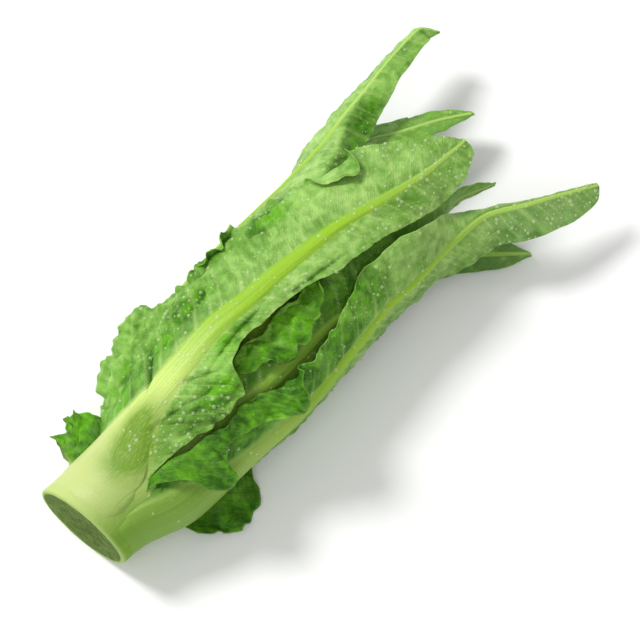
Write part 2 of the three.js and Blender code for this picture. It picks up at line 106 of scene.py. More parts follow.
def seen(red: int, green: int, blue: int) -> Colour:
    """A colour as it is seen, 0 to 255 a channel, as the shader's linear numbers."""
    return tuple(((c / 255 + 0.055) / 1.055) ** 2.4 for c in (red, green, blue))


class Grain:
    """Smooth noise over a plane, the same on each run."""

    SIZE = 64
    OFFSET_U, OFFSET_V = 7.3, 3.1
    FULL = 1.5

    def __init__(self, seed: int) -> None:
        """Draws the lattice from a fixed seed."""
        self.lattice = np.random.default_rng(seed).uniform(-1, 1, (self.SIZE, self.SIZE))

    def at(self, u: np.ndarray, v: np.ndarray) -> np.ndarray:
        """One layer of noise, from -1 to 1, with features one unit wide."""
        i, j = np.floor(u).astype(int), np.floor(v).astype(int)
        a, b = smooth(u - i, 0, 1), smooth(v - j, 0, 1)

        def corner(di: int, dj: int) -> np.ndarray:
            return self.lattice[(i + di) % self.SIZE, (j + dj) % self.SIZE]

        low = corner(0, 0) * (1 - a) + corner(1, 0) * a
        high = corner(0, 1) * (1 - a) + corner(1, 1) * a
        return low * (1 - b) + high * b

    def layered(self, u: np.ndarray, v: np.ndarray, layers: int = 3) -> np.ndarray:
        """Several layers, each half as large and half as strong as the one before."""
        total = sum(
            self.at(u * 2**k + self.OFFSET_U * k, v * 2**k + self.OFFSET_V * k) / 2**k for k in range(layers)
        )
        return total / self.FULL


@dataclass(frozen=True)
class HeadShape:
    """The lying head that every leaf is laid down on."""

    top_press: float = 0.96
    press_blend: float = 10.0
    nest_step: float = 3.5
    nest_from: float = 40.0
    nest_to: float = 100.0
    axis_height: Rows = ((0, 27.3), (40, 29), (80, 32), (130, 34.2), (200, 33.5), (260, 31), (330, 27))
    axis_side: Rows = ((0, 0), (14, -2.5), (40, -8.5), (80, -8.5), (140, -8), (180, -10), (250, -12),
                       (330, -14))
    under_press: Rows = ((0, 1), (14, 0.97), (40, 0.86), (130, 0.86), (330, 0.84))
    side_spread: Rows = ((0, 1), (60, 1.02), (130, 1.08), (330, 1.08))
    # Where the stalks are palest, towards the key lamp: partly their own colour, partly painted light.
    pale_and_lit_side: float = -55.0
    pale_from: float = -0.35
    pale_full: float = 0.95
    cut_slant: float = 0.096
    cut_blend: float = 20.0

    def lay_down(self, points: np.ndarray) -> np.ndarray:
        """Presses the round head's points as they lie, and bows them along the axis."""
        x, y, z = points[..., 0], points[..., 1], points[..., 2]
        under = along(self.under_press, x)
        mean, half = (self.top_press + under) / 2, (self.top_press - under) / 2
        bend = np.hypot(z, self.press_blend) - self.press_blend
        side = along(self.axis_side, x) + y * along(self.side_spread, x)
        rise = z * mean + bend * half
        lean = self.cut_slant * rise * np.maximum(0, 1 - x / self.cut_blend)
        return np.stack((x + lean, side, along(self.axis_height, x) + rise), -1)

    def pale(self, points: np.ndarray) -> np.ndarray:
        """How pale the stalks are at points of the round head, from 0 on its green side to 1, partly painted
        light.
        """
        away = np.arctan2(-points[..., 1], points[..., 2]) - math.radians(self.pale_and_lit_side)
        return smooth(np.cos(away), self.pale_from, self.pale_full)


class Ring(Enum):
    """The rings of leaves, with the distance from the axis to the middle of a leaf at each place along it."""

    OUTER = ((14, 23.75), (28, 27.2), (42, 31), (64, 36.5), (92, 42.5), (111, 45.3), (130, 46.3), (160, 46.5),
             (190, 45.5), (216, 44), (245, 41), (274, 37), (330, 32))
    SECOND = ((28, 20), (42, 24), (64, 28.3), (92, 32.2), (111, 34.8), (130, 35.7), (160, 36), (190, 35.2),
              (216, 34), (245, 31.5), (280, 28))
    INNER = ((40, 15), (64, 19.5), (92, 22.2), (130, 25), (170, 25.5), (210, 25), (250, 22))
    HEART = ((50, 9), (92, 12.5), (130, 15), (170, 15.5), (210, 14))


@dataclass(frozen=True)
class Fold:
    """A line on one half of a leaf where the blade turns by an angle in degrees.

    at and length are shares of the way from rib to margin.
    """

    at: Value
    length: float
    angle: Value


@dataclass(frozen=True)
class Crease:
    """A short deep crease in a blade, in millimetres.

    x and distance are its middle, lean is how far it moves from the rib for each millimetre along the head.
    """

    x: float
    distance: float
    length: float
    width: float
    depth: float
    lean: float = 0.0


@dataclass(frozen=True)
class Side:
    """One half of a leaf, from rib to margin.

    The heights of its swellings, ripples and creases are millimetres. green and grey say how much of the
    blade is deep green or grey green.
    """

    width: Value
    wave: Value = 0.0
    wave_length: float = 27.0
    phase: float = 0.0
    lobe: Value = 0.0
    folds: Tuple[Fold, ...] = ()
    pucker: Value = ((50, 0.0), (80, 1.2), (150, 0.9), (200, 0.4), (260, 0.25))
    ruffle: Value = ((40, 0.0), (60, 0.8), (150, 0.6), (230, 0.25))
    ruffle_length: float = 12.0
    crumple: Value = 0.0
    crumple_from: float = 0.35
    teeth: Value = ((40, 0.0), (60, 0.7), (150, 0.5), (250, 0.2))
    slant: Value = ((50, 1.2), (120, 0.85), (200, 0.5))
    vein_gap: float = 9.0
    creases: Tuple[Crease, ...] = ()
    green: Value = 0.0
    grey: Value = 0.0

    SLOW_SWING, QUICK_SWING = 0.75, 0.35
    SWING_DRIFT, DRIFT_PACE, QUICK_PACE = 1.2, 0.37, 1.83
    SWING_FROM = 0.25
    LOBES = ((0.6, 23.0, 2.3), (0.4, 37.0, 1.0))

    def turn(self, x: np.ndarray, share: np.ndarray) -> np.ndarray:
        """How far the blade turns out from lying round the head, in radians."""
        phase = 2 * np.pi * x / self.wave_length + self.phase
        slow = self.SLOW_SWING * np.sin(phase + self.SWING_DRIFT * np.sin(phase * self.DRIFT_PACE))
        quick = self.QUICK_SWING * np.sin(phase * self.QUICK_PACE + 2 * self.phase)
        degrees = along(self.wave, x) * (slow + quick) * smooth(share, self.SWING_FROM, 1)
        for fold in self.folds:
            at, half = along(fold.at, x), fold.length / 2
            degrees = degrees + along(fold.angle, x) * smooth(share, at - half, at + half)
        return np.radians(degrees)

    def half_width(self, x: np.ndarray) -> np.ndarray:
        """From the middle of the rib to the margin, with lobes of two lengths."""
        lobes = sum(
            size * np.sin(2 * np.pi * x / length + self.phase * shift) for size, length, shift in self.LOBES
        )
        return along(self.width, x) * (1 + along(self.lobe, x) * lobes)


@dataclass(frozen=True)
class Patch:
    """A place on a leaf where its colour differs: x along the head and s across it, in millimetres."""

    x: float
    s: float
    length: float
    width: float
    strength: float


@dataclass(frozen=True)
class Detail:
    """How finely a leaf is drawn: a step along it, and points across its rib and a half blade."""

    step: float
    rib: int
    blade: int


@dataclass(frozen=True)
class Leaf:
    """One leaf: where its rib runs, how its halves spread and what they look like.

    An angle is in degrees round the head, x runs from the cut face.
    """

    node: str
    ring: Ring
    reach: Tuple[float, float]
    angle: Value
    left: Side
    right: Side
    rib: Value
    rib_out: Value
    rib_in: Value
    rib_shape: Value
    depth: int = 0
    lift: Value = 0.0
    sway: Value = 0.0
    rise: Value = 0.0
    roll: Value = 0.0
    cup: Value = 1.0
    free: Tuple[float, float] = (205.0, 250.0)
    stalk: Tuple[float, float] = (34.0, 80.0)
    wet: float = 0.0
    patches: Tuple[Patch, ...] = ()
    # Patches of deeper green: partly the blade's own vivid green, partly painted shade in dark folds and
    # slits.
    shades: Tuple[Patch, ...] = ()
    pale_backs: Tuple[Patch, ...] = ()
    seed: int = 1
    detail: Detail = Detail(1.8, 5, 25)


class LeafGrower:
    """Grows the two faces of one leaf and makes them a closed mesh.

    The constants are what all leaves share. Lengths and heights are millimetres. A pair is where a soft step
    starts and ends, along the leaf or as shares of the way from rib to margin.
    """

    STEP = 0.6
    TANGENT_STEP = 0.5
    LEAST_BLADE = 0.6
    TOOTH_LENGTH, TOOTH_ROW, TOOTH_HEIGHT = 5.5, 0.37, 1.6

    BASE_BLADE, BLADE = 0.9, 0.5
    BLADE_THINS = (40, 90)
    MARGIN, MARGIN_THINNING = (0.8, 1), 0.5
    SHEATH_INSET = 0.2
    SHEATH_ENDS = (22, 50)
    RIB_FADES = (0.7, 1.35)
    STALK_FADES = (0.5, 5.0)
    BASE_ENDS = (18, 26)

    VEIN_WANDER, VEIN_CURVE, VEIN_UNEVEN = 1.6, 0.004, 0.22
    VEIN_WIDTH, VEIN_HEIGHT, VEIN_THINNING = 0.75, 0.22, 0.7
    VEINS_FROM = (0, 0.03)

    SWELLS_FROM = (0.02, 0.3)
    SWELL_LENGTH, SWELL_LEAST, SWELL_ROUNDNESS = 10.5, 0.35, 0.8
    RIPPLES_FROM = (0.45, 1.05)
    SHORT_RIPPLE, SHORT_RIPPLE_PACE = 0.45, 2.3
    CRUMPLE_SHARPNESS, CRUMPLE_BLEND = 2.2, 0.3
    CRUMPLE_LENGTH, CRUMPLE_WIDTH = 13, 9
    UNEVEN, UNEVEN_LENGTH, UNEVEN_WIDTH = 0.9, 24, 14
    UNEVEN_FROM = (0, 0.3)
    SKIN_FROM, SKIN_STARTS = (0.01, 0.2), (45, 90)
    LEANING_LENGTH = 8
    NET, NET_WIDTH, NET_CELL = 0.2, 0.16, 6
    BLISTER, BLISTER_CELL = 0.3, 3.1
    CREASE_ROUNDNESS, CREASE_END = 1.6, 4

    MAP_U, MAP_V = (0.01, 0.99), (0.02, 0.48)

    STREAK_SEED = 40
    STREAK, STREAK_WIDTH, STREAK_LENGTH = 0.16, 1.7, 60
    STREAKS_GROW, STREAKS_END = (70, 130), (150, 230)
    MOST_GREEN = 1.2

    def __init__(self, leaf: Leaf, head: HeadShape, shift: Vector) -> None:
        """Sets out the stations along the leaf.

        Args:
            leaf: The leaf's own sizes.
            head: The head it lies on.
            shift: From the head's own millimetres to the frame's.
        """
        self.leaf = leaf
        self.head = head
        self.shift = shift
        self.detail = leaf.detail
        count = int(round((leaf.reach[1] - leaf.reach[0]) / self.detail.step)) + 1
        self.x = np.linspace(leaf.reach[0], leaf.reach[1], count)
        self.grain = Grain(leaf.seed)

    def radius(self, x: np.ndarray) -> np.ndarray:
        """From the head's axis to the middle of the leaf's rib."""
        nested = self.head.nest_step * self.leaf.depth * smooth(x, self.head.nest_from, self.head.nest_to)
        return along(self.leaf.ring.value, x) - nested + along(self.leaf.lift, x)

    def drift(self, x: np.ndarray) -> np.ndarray:
        """How far the free end of the leaf has moved off its place round the axis."""
        return np.stack((np.zeros_like(x), along(self.leaf.sway, x), along(self.leaf.rise, x)), -1)

    def midrib(self, x: np.ndarray) -> np.ndarray:
        """Points along the middle of the rib."""
        return polar(x, np.radians(along(self.leaf.angle, x)), self.radius(x)) + self.drift(x)

    def rib_half(self, x: np.ndarray) -> np.ndarray:
        """Half the width of the rib."""
        halves = np.minimum(self.leaf.left.half_width(x), self.leaf.right.half_width(x))
        return np.minimum(along(self.leaf.rib, x), halves)

    def places(self, side: Side) -> Tuple[np.ndarray, np.ndarray]:
        """Where one half has its points.

        Args:
            side: The half.

        Returns:
            Distances from the rib's middle and shares of the blade's width, a row for each station.
        """
        rib = self.rib_half(self.x)[:, None]
        notch = along(side.teeth, self.x) * self.teeth(side)
        width = np.maximum(side.half_width(self.x) + notch, rib[:, 0] + self.LEAST_BLADE)[:, None]
        over_rib = np.linspace(0, 1, self.detail.rib + 1)[None, :] * rib
        share = np.linspace(0, 1, self.detail.blade + 1)[None, 1:]
        over_blade = rib + (width - rib) * share
        distance = np.concatenate((over_rib, over_blade), 1)
        shares = np.concatenate((np.zeros_like(over_rib), np.broadcast_to(share, over_blade.shape)), 1)
        return distance, shares

    def teeth(self, side: Side) -> np.ndarray:
        """The small uneven teeth of a margin, from about -1 to 1 at each station."""
        u = self.x / self.TOOTH_LENGTH + side.phase * 5
        return self.grain.layered(u, np.full_like(u, self.TOOTH_ROW + side.phase), 3) * self.TOOTH_HEIGHT

    def spread(self, side: Side, sign: int, distance: np.ndarray) -> np.ndarray:
        """Lays one half out from the rib, wrapped round the head near the stem and free at the tip.

        Args:
            side: The half.
            sign: -1 for the left half and 1 for the right.
            distance: How far from the rib's middle each point is, a row for each station.

        Returns:
            The points of the round head.
        """
        leaf, x = self.leaf, self.x
        origin = self.midrib(x)
        tangent = unit(self.midrib(x + self.TANGENT_STEP) - self.midrib(x - self.TANGENT_STEP))
        angle = np.radians(along(leaf.angle, x))
        normal = polar(0.0, angle, 1.0)
        normal = unit(normal - tangent * (normal * tangent).sum(-1, keepdims=True))
        roll = np.radians(along(leaf.roll, x))[:, None]
        normal = normal * np.cos(roll) + np.cross(tangent, normal) * np.sin(roll)
        across = np.cross(tangent, normal)
        free = smooth(x, *leaf.free)[:, None]
        radius = self.radius(x)
        cup = along(leaf.cup, x) / radius
        rib = self.rib_half(x)
        blade = np.maximum(side.half_width(x) - rib, 1)
        moved = self.drift(x)
        travelled = np.zeros_like(x)
        sideways, out = np.zeros_like(x), np.zeros_like(x)
        points = [origin]
        for j in range(1, distance.shape[1]):
            gap = distance[:, j] - distance[:, j - 1]
            parts = max(1, math.ceil(gap.max() / self.STEP))
            for _ in range(parts):
                d = gap / parts
                t = travelled + d / 2
                bend = side.turn(x, np.clip((t - rib) / blade, 0, 1))
                angle = angle + sign * np.cos(bend) * d / radius
                radius = radius + np.sin(bend) * d
                lean = bend - cup * t
                sideways = sideways + np.cos(lean) * d
                out = out + np.sin(lean) * d
                travelled = travelled + d
            wrapped = polar(x, angle, radius) + moved
            loose = origin + across * (sign * sideways)[:, None] + normal * out[:, None]
            points.append(wrapped * (1 - free) + loose * free)
        return np.stack(points, 1)

    def veins(self, side: Side, distance: np.ndarray) -> Tuple[np.ndarray, np.ndarray, np.ndarray]:
        """Side veins that leave the rib and lean towards the tip.

        Args:
            side: The half.
            distance: Distances from the rib's middle.

        Returns:
            Millimetres to the nearest vein, the number of the strip between two veins, and the share
            across that strip.
        """
        x = self.x[:, None]
        lean = along(side.slant, self.x)[:, None]
        wander = self.VEIN_WANDER * self.grain.at(x / 21 + 5, distance / 17 + side.phase)
        start = x - lean * distance + self.VEIN_CURVE * distance**2 + wander
        place = start / side.vein_gap + side.phase
        place = place + self.VEIN_UNEVEN * np.sin(place * 2.3 + side.phase)
        strip = np.floor(place)
        share = place - strip
        return np.minimum(share, 1 - share) * side.vein_gap, strip, share

    def relief(self, side: Side, distance: np.ndarray, share: np.ndarray) -> Tuple[np.ndarray, np.ndarray]:
        """Swellings between the veins, ripples at the margin and creases.

        Args:
            side: The half.
            distance: Distances from the rib's middle.
            share: Shares of the way from rib to margin.

        Returns:
            The height over the smooth leaf, and how much of it is a vein, from 0 to 1.
        """
        x = np.broadcast_to(self.x[:, None], distance.shape)
        to_vein, strip, across = self.veins(side, distance)
        height = along(side.pucker, x) * self.swelling(side, x, distance, strip, across)
        height = height * smooth(share, *self.SWELLS_FROM)
        ripple = along(side.ruffle, x) * self.ripple(side, x, distance)
        height = height + ripple * smooth(share, *self.RIPPLES_FROM)
        crumpled = smooth(share, side.crumple_from, side.crumple_from + self.CRUMPLE_BLEND)
        folded = self.grain.layered(x / self.CRUMPLE_LENGTH + 2, distance / self.CRUMPLE_WIDTH - x / 31, 3)
        height = height + along(side.crumple, x) * (1 - self.CRUMPLE_SHARPNESS * np.abs(folded)) * crumpled
        uneven = self.grain.layered(x / self.UNEVEN_LENGTH, distance / self.UNEVEN_WIDTH + side.phase, 3)
        height = height + self.UNEVEN * uneven * smooth(share, *self.UNEVEN_FROM)
        skin = self.skin(side, x, distance) * smooth(share, *self.SKIN_FROM)
        height = height + skin * smooth(x, *self.SKIN_STARTS)
        for c in side.creases:
            off = (distance - c.distance - c.lean * (x - c.x)) / c.width
            past = np.abs(off) ** self.CREASE_ROUNDNESS + ((x - c.x) / c.length) ** self.CREASE_END
            height = height - c.depth * np.exp(-past)
        vein = np.exp(-((to_vein / self.VEIN_WIDTH) ** 2)) * smooth(share, *self.VEINS_FROM)
        return height, vein * (1 - self.VEIN_THINNING * share) * smooth(x, *self.leaf.stalk)

    def swelling(
        self, side: Side, x: np.ndarray, distance: np.ndarray, strip: np.ndarray, across: np.ndarray
    ) -> np.ndarray:
        """The rounded swellings in the strips between the veins, from about 0 to 1."""
        start = self.grain.at(strip * 3.7, strip * 1.9 + side.phase)
        turns = distance / self.SWELL_LENGTH + 2 * start + 0.3 * np.sin(x / 13)
        cell = np.abs(np.sin(np.pi * turns)) ** self.SWELL_ROUNDNESS
        swell = np.sin(np.pi * across) ** self.SWELL_ROUNDNESS
        swell = swell * (self.SWELL_LEAST + (1 - self.SWELL_LEAST) * cell)
        return swell * (1 + 0.5 * self.grain.at(x / 11, distance / 9 + 3))

    def ripple(self, side: Side, x: np.ndarray, distance: np.ndarray) -> np.ndarray:
        """The ripples of a margin, a long one and a short one on it."""
        phase = 2 * np.pi * x / side.ruffle_length + 3 * self.grain.at(x / 35, side.phase + 0 * x)
        short = np.sin(phase * self.SHORT_RIPPLE_PACE + 1.7 * side.phase + distance / 6)
        return np.sin(phase + side.phase) + self.SHORT_RIPPLE * short

    def skin(self, side: Side, x: np.ndarray, distance: np.ndarray) -> np.ndarray:
        """The height of the finest net of veins and the blisters in it."""
        leaning = (x - along(side.slant, x) * distance) / self.LEANING_LENGTH
        net = np.abs(self.grain.layered(leaning + 11, distance / self.NET_CELL + 4, 2))
        blister = self.grain.layered(leaning * 2.3 + 3, distance / self.BLISTER_CELL, 2)
        return self.NET * np.exp(-((net / self.NET_WIDTH) ** 2)) + self.BLISTER * blister

    def half(self, side: Side, sign: int) -> Dict[str, np.ndarray]:
        """Grows one half of the leaf.

        Args:
            side: The half.
            sign: -1 for the left half and 1 for the right.

        Returns:
            Its points and what is known of them, each a grid with a row for each station.
        """
        leaf, x = self.leaf, self.x
        distance, share = self.places(side)
        height, vein = self.relief(side, distance, share)
        cover = side.half_width(x) - self.SHEATH_INSET
        cover = cover + (self.rib_half(x) - cover) * smooth(x, *self.SHEATH_ENDS)
        roundness = along(leaf.rib_shape, x)[:, None]
        rib_half = self.rib_half(x)[:, None]
        past_rib = smooth(distance - rib_half, *self.STALK_FADES)
        near = np.maximum(1 - past_rib, 1 - smooth(x, *self.BASE_ENDS)[:, None])
        return {
            "points": self.spread(side, sign, distance),
            "across": sign * distance,
            "share": share,
            "height": height,
            "vein": vein,
            "bulge": 1 - np.minimum(distance / cover[:, None], 1) ** roundness,
            "rib": 1 - smooth(distance / rib_half, *self.RIB_FADES),
            "stalk": near * (1 - smooth(x, *leaf.stalk))[:, None],
            "green": along(side.green, x)[:, None] * smooth(share, 0, 0.15),
            "grey": along(side.grey, x)[:, None] + 0 * share,
        }

    def streaks(self, x: np.ndarray, across: np.ndarray, bulge: np.ndarray) -> np.ndarray:
        """The height of the fine lines along the stalk and the rib."""
        grain = Grain(self.STREAK_SEED + self.leaf.seed)
        lines = grain.layered(across / self.STREAK_WIDTH, x / self.STREAK_LENGTH, 2)
        strength = (0.25 + 0.75 * smooth(x, *self.STREAKS_GROW)) * (1 - smooth(x, *self.STREAKS_END))
        return self.STREAK * lines * np.minimum(bulge * 3, 1) * strength

    def grown(self) -> Dict[str, np.ndarray]:
        """Grows the leaf.

        Returns:
            The outer and inner faces laid down, in the head's millimetres, and what the finish reads,
            each a grid with a row for each station.
        """
        leaf = self.leaf
        left, right = self.half(leaf.left, -1), self.half(leaf.right, 1)
        grids = {key: np.concatenate((left[key][:, :0:-1], right[key]), 1) for key in left}
        points, bulge, across = grids.pop("points"), grids.pop("bulge"), grids["across"]
        points = points + self.normals(points, True) * grids["height"][..., None]
        normal = self.normals(points, True)
        x = np.broadcast_to(self.x[:, None], across.shape)
        blade = self.BASE_BLADE + (self.BLADE - self.BASE_BLADE) * smooth(x, *self.BLADE_THINS)
        blade = blade * (1 - self.MARGIN_THINNING * smooth(grids["share"], *self.MARGIN))
        out = blade / 2 + along(leaf.rib_out, x) * bulge
        out = out + self.VEIN_HEIGHT * grids["vein"] + self.streaks(x, across, bulge)
        back = blade / 2 + along(leaf.rib_in, x) * bulge
        outer = self.head.lay_down(points + normal * out[..., None])
        inner = self.head.lay_down(points - normal * back[..., None])
        lift = np.maximum(0, np.maximum(-outer[..., 2], -inner[..., 2]))
        outer[..., 2] += lift
        inner[..., 2] += lift
        # The deep-green patches join the green share; some of them are painted shade.
        green = grids.pop("green") + self.spots(leaf.shades, x, across)
        return {
            **grids,
            "outer": outer,
            "inner": inner,
            "x": x,
            "green": np.clip(green, 0, self.MOST_GREEN),
            "patch": self.spots(leaf.patches, x, across),
            "inside": 1 - np.clip(self.spots(leaf.pale_backs, x, across), 0, 1),
            "pale": self.head.pale(points),
        }

    @staticmethod
    def spots(patches: Sequence[Patch], x: np.ndarray, across: np.ndarray) -> np.ndarray:
        """How strongly a set of soft-edged patches colours each point."""
        total = np.zeros_like(across)
        for p in patches:
            far = ((x - p.x) / p.length) ** 2 + ((across - p.s) / p.width) ** 2
            total = total + p.strength * np.exp(-far)
        return total

    @staticmethod
    def normals(points: np.ndarray, square_end: bool) -> np.ndarray:
        """Outward normals of a grid of points.

        Args:
            points: The grid, along the leaf and then across it from left to right.
            square_end: Whether the first row's normals are square to the axis.

        Returns:
            Unit vectors.
        """
        down, over = np.empty_like(points), np.empty_like(points)
        down[1:-1] = points[2:] - points[:-2]
        down[0], down[-1] = points[1] - points[0], points[-1] - points[-2]
        over[:, 1:-1] = points[:, 2:] - points[:, :-2]
        over[:, 0], over[:, -1] = points[:, 1] - points[:, 0], points[:, -1] - points[:, -2]
        normal = np.cross(over, down)
        if square_end:
            normal[0, :, 0] = 0
        return unit(normal)

    def mesh(self, name: str) -> Tuple[bpy.types.Object, Dict[str, np.ndarray]]:
        """Makes the leaf a closed mesh with what its finish reads on its points.

        Args:
            name: The piece's name.

        Returns:
            The object and the grown grids.
        """
        grids = self.grown()
        rows, columns = grids["x"].shape
        count = rows * columns
        both = np.concatenate((grids["outer"].reshape(-1, 3), grids["inner"].reshape(-1, 3)))
        places = (both + np.array(self.shift)) * MM
        number = np.arange(count).reshape(rows, columns)
        a, b, c, d = number[:-1, :-1], number[:-1, 1:], number[1:, 1:], number[1:, :-1]
        front = np.stack((a, b, c, d), -1).reshape(-1, 4)
        back = np.stack((a, d, c, b), -1).reshape(-1, 4) + count
        near, far = number[:, 0], number[:, -1]
        first, last = number[0], number[-1]
        rim = np.concatenate((
            np.stack((near[:-1], near[1:], near[1:] + count, near[:-1] + count), -1),
            np.stack((far[:-1], far[:-1] + count, far[1:] + count, far[1:]), -1),
            np.stack((first[:-1], first[:-1] + count, first[1:] + count, first[1:]), -1),
            np.stack((last[:-1], last[1:], last[1:] + count, last[:-1] + count), -1),
        ))
        faces = np.concatenate((front, back, rim))
        piece = solid(name, places, faces)
        u, v = np.meshgrid(np.linspace(*self.MAP_U, rows), np.linspace(*self.MAP_V, columns), indexing="ij")
        flat = np.concatenate([np.stack((u, v + half), -1).reshape(-1, 2) for half in (0.0, 0.5)])
        layer = piece.data.uv_layers.new(name="Surface")
        layer.data.foreach_set("uv", flat[faces].astype(np.float32).ravel())
        inside = np.concatenate((np.zeros(count), grids["inside"].ravel()))
        twice = {key: np.tile(grids[key].ravel(), 2) for key in grids if key not in ("outer", "inner")}
        put_vector(piece, "surface", twice["x"], twice["across"], inside)
        put_vector(piece, "tissue", twice["rib"], twice["vein"], twice["stalk"])
        put_vector(piece, "tone", twice["patch"], twice["share"], twice["height"])
        put_vector(piece, "hue", twice["green"], twice["grey"], twice["pale"])
        return piece, grids


def solid(name: str, places: np.ndarray, faces: np.ndarray) -> bpy.types.Object:
    """Makes an object in the scene from points and four-sided faces.

    Args:
        name: The object's name.
        places: Points in metres.
        faces: Four numbers of points for each face, turning left seen from outside.

    Returns:
        The smooth-shaded object, at the origin.
    """
    mesh = bpy.data.meshes.new(name)
    mesh.from_pydata([], [], [])
    mesh.vertices.add(len(places))
    mesh.vertices.foreach_set("co", places.astype(np.float32).ravel())
    mesh.loops.add(faces.size)
    mesh.loops.foreach_set("vertex_index", faces.astype(np.int32).ravel())
    mesh.polygons.add(len(faces))
    mesh.polygons.foreach_set("loop_start", np.arange(0, faces.size, 4, dtype=np.int32))
    mesh.polygons.foreach_set("use_smooth", np.ones(len(faces), bool))
    mesh.update(calc_edges=True)
    mesh.validate()
    piece = bpy.data.objects.new(name, mesh)
    bpy.context.scene.collection.objects.link(piece)
    return piece


def put_vector(piece: bpy.types.Object, name: str, *parts: np.ndarray) -> None:
    """Stores three numbers for each point of a piece under one name."""
    attribute = piece.data.attributes.new(name, "FLOAT_VECTOR", "POINT")
    attribute.data.foreach_set("vector", np.stack(parts, -1).astype(np.float32).ravel())


class Weave:
    """A material's node tree, with the few kinds of node that the finishes need."""

    def __init__(self, name: str) -> None:
        """Starts a material of that name with its shader and output."""
        self.material = bpy.data.materials.new(name)
        self.material.use_nodes = True
        self.tree = self.material.node_tree
        self.tree.nodes.clear()
        self.shader = self.tree.nodes.new("ShaderNodeBsdfPrincipled")
        output = self.tree.nodes.new("ShaderNodeOutputMaterial")
        self.tree.links.new(self.shader.outputs["BSDF"], output.inputs["Surface"])

    def put(self, socket: Socket, value: object) -> None:
        """Links a socket to an output, or sets it to a number or a colour."""
        if isinstance(value, Socket):
            self.tree.links.new(value, socket)
        elif isinstance(value, tuple) and len(value) == 3 and socket.type == "RGBA":
            socket.default_value = (*value, 1.0)
        else:
            socket.default_value = value

    def maths(self, operation: str, *values: object, clamp: bool = False) -> Socket:
        """The result of one operation on numbers."""
        node = self.tree.nodes.new("ShaderNodeMath")
        node.operation = operation
        node.use_clamp = clamp
        for socket, value in zip(node.inputs, values):
            self.put(socket, value)
        return node.outputs[0]

    def times(self, first: object, second: object) -> Socket:
        """Two numbers multiplied."""
        return self.maths("MULTIPLY", first, second)

    def plus(self, first: object, second: object) -> Socket:
        """Two numbers added."""
        return self.maths("ADD", first, second)

    def mix(self, share: object, first: object, second: object) -> Socket:
        """Two colours mixed, the second by the given share."""
        node = self.tree.nodes.new("ShaderNodeMix")
        node.data_type = "RGBA"
        self.put(node.inputs[0], share)
        self.put(node.inputs[6], first)
        self.put(node.inputs[7], second)
        return node.outputs[2]

    def ramp(self, value: object, low: float, high: float) -> Socket:
        """A soft step of a value from 0 at low to 1 at high."""
        node = self.tree.nodes.new("ShaderNodeMapRange")
        node.interpolation_type = "SMOOTHSTEP"
        self.put(node.inputs["Value"], value)
        node.inputs["From Min"].default_value = low
        node.inputs["From Max"].default_value = high
        return node.outputs["Result"]

    def part(self, value: object, low: float, high: float, most: float) -> Socket:
        """A soft step of a value from 0 at low to most at high."""
        return self.times(self.ramp(value, low, high), most)

    def attribute(self, name: str) -> Tuple[Socket, List[Socket]]:
        """A vector stored on the piece's points, whole and in its three parts."""
        node = self.tree.nodes.new("ShaderNodeAttribute")
        node.attribute_name = name
        parts = self.tree.nodes.new("ShaderNodeSeparateXYZ")
        self.tree.links.new(node.outputs["Vector"], parts.inputs[0])
        return node.outputs["Vector"], list(parts.outputs)

    def scaled(self, vector: Socket, scale: Tuple[float, float, float]) -> Socket:
        """A vector stretched by a scale along each axis."""
        node = self.tree.nodes.new("ShaderNodeMapping")
        self.tree.links.new(vector, node.inputs["Vector"])
        node.inputs["Scale"].default_value = scale
        return node.outputs["Vector"]

    def joined(self, first: object, second: object) -> Socket:
        """A flat vector of two numbers."""
        node = self.tree.nodes.new("ShaderNodeCombineXYZ")
        self.put(node.inputs["X"], first)
        self.put(node.inputs["Y"], second)
        return node.outputs["Vector"]

    def noise(self, vector: Socket, scale: float, detail: float = 3.0) -> Socket:
        """Soft noise from 0 to 1."""
        node = self.tree.nodes.new("ShaderNodeTexNoise")
        self.tree.links.new(vector, node.inputs["Vector"])
        node.inputs["Scale"].default_value = scale
        node.inputs["Detail"].default_value = detail
        return node.outputs["Fac"]

    def net(self, vector: Socket, scale: float) -> Socket:
        """The distance to the nearest line of a net of cells."""
        node = self.tree.nodes.new("ShaderNodeTexVoronoi")
        node.feature = "DISTANCE_TO_EDGE"
        self.tree.links.new(vector, node.inputs["Vector"])
        node.inputs["Scale"].default_value = scale
        return node.outputs["Distance"]

    def position(self) -> Socket:
        """Object coordinates, in metres."""
        return self.tree.nodes.new("ShaderNodeTexCoord").outputs["Object"]

    def bump(self, height: object, distance: float, strength: float) -> None:
        """Adds fine relief that is too small to model."""
        node = self.tree.nodes.new("ShaderNodeBump")
        node.inputs["Strength"].default_value = strength
        node.inputs["Distance"].default_value = distance
        self.put(node.inputs["Height"], height)
        self.tree.links.new(node.outputs["Normal"], self.shader.inputs["Normal"])

    def set(self, settings: Dict[str, object]) -> None:
        """Sets the shader's constants."""
        for name, value in settings.items():
            self.shader.inputs[name].default_value = value


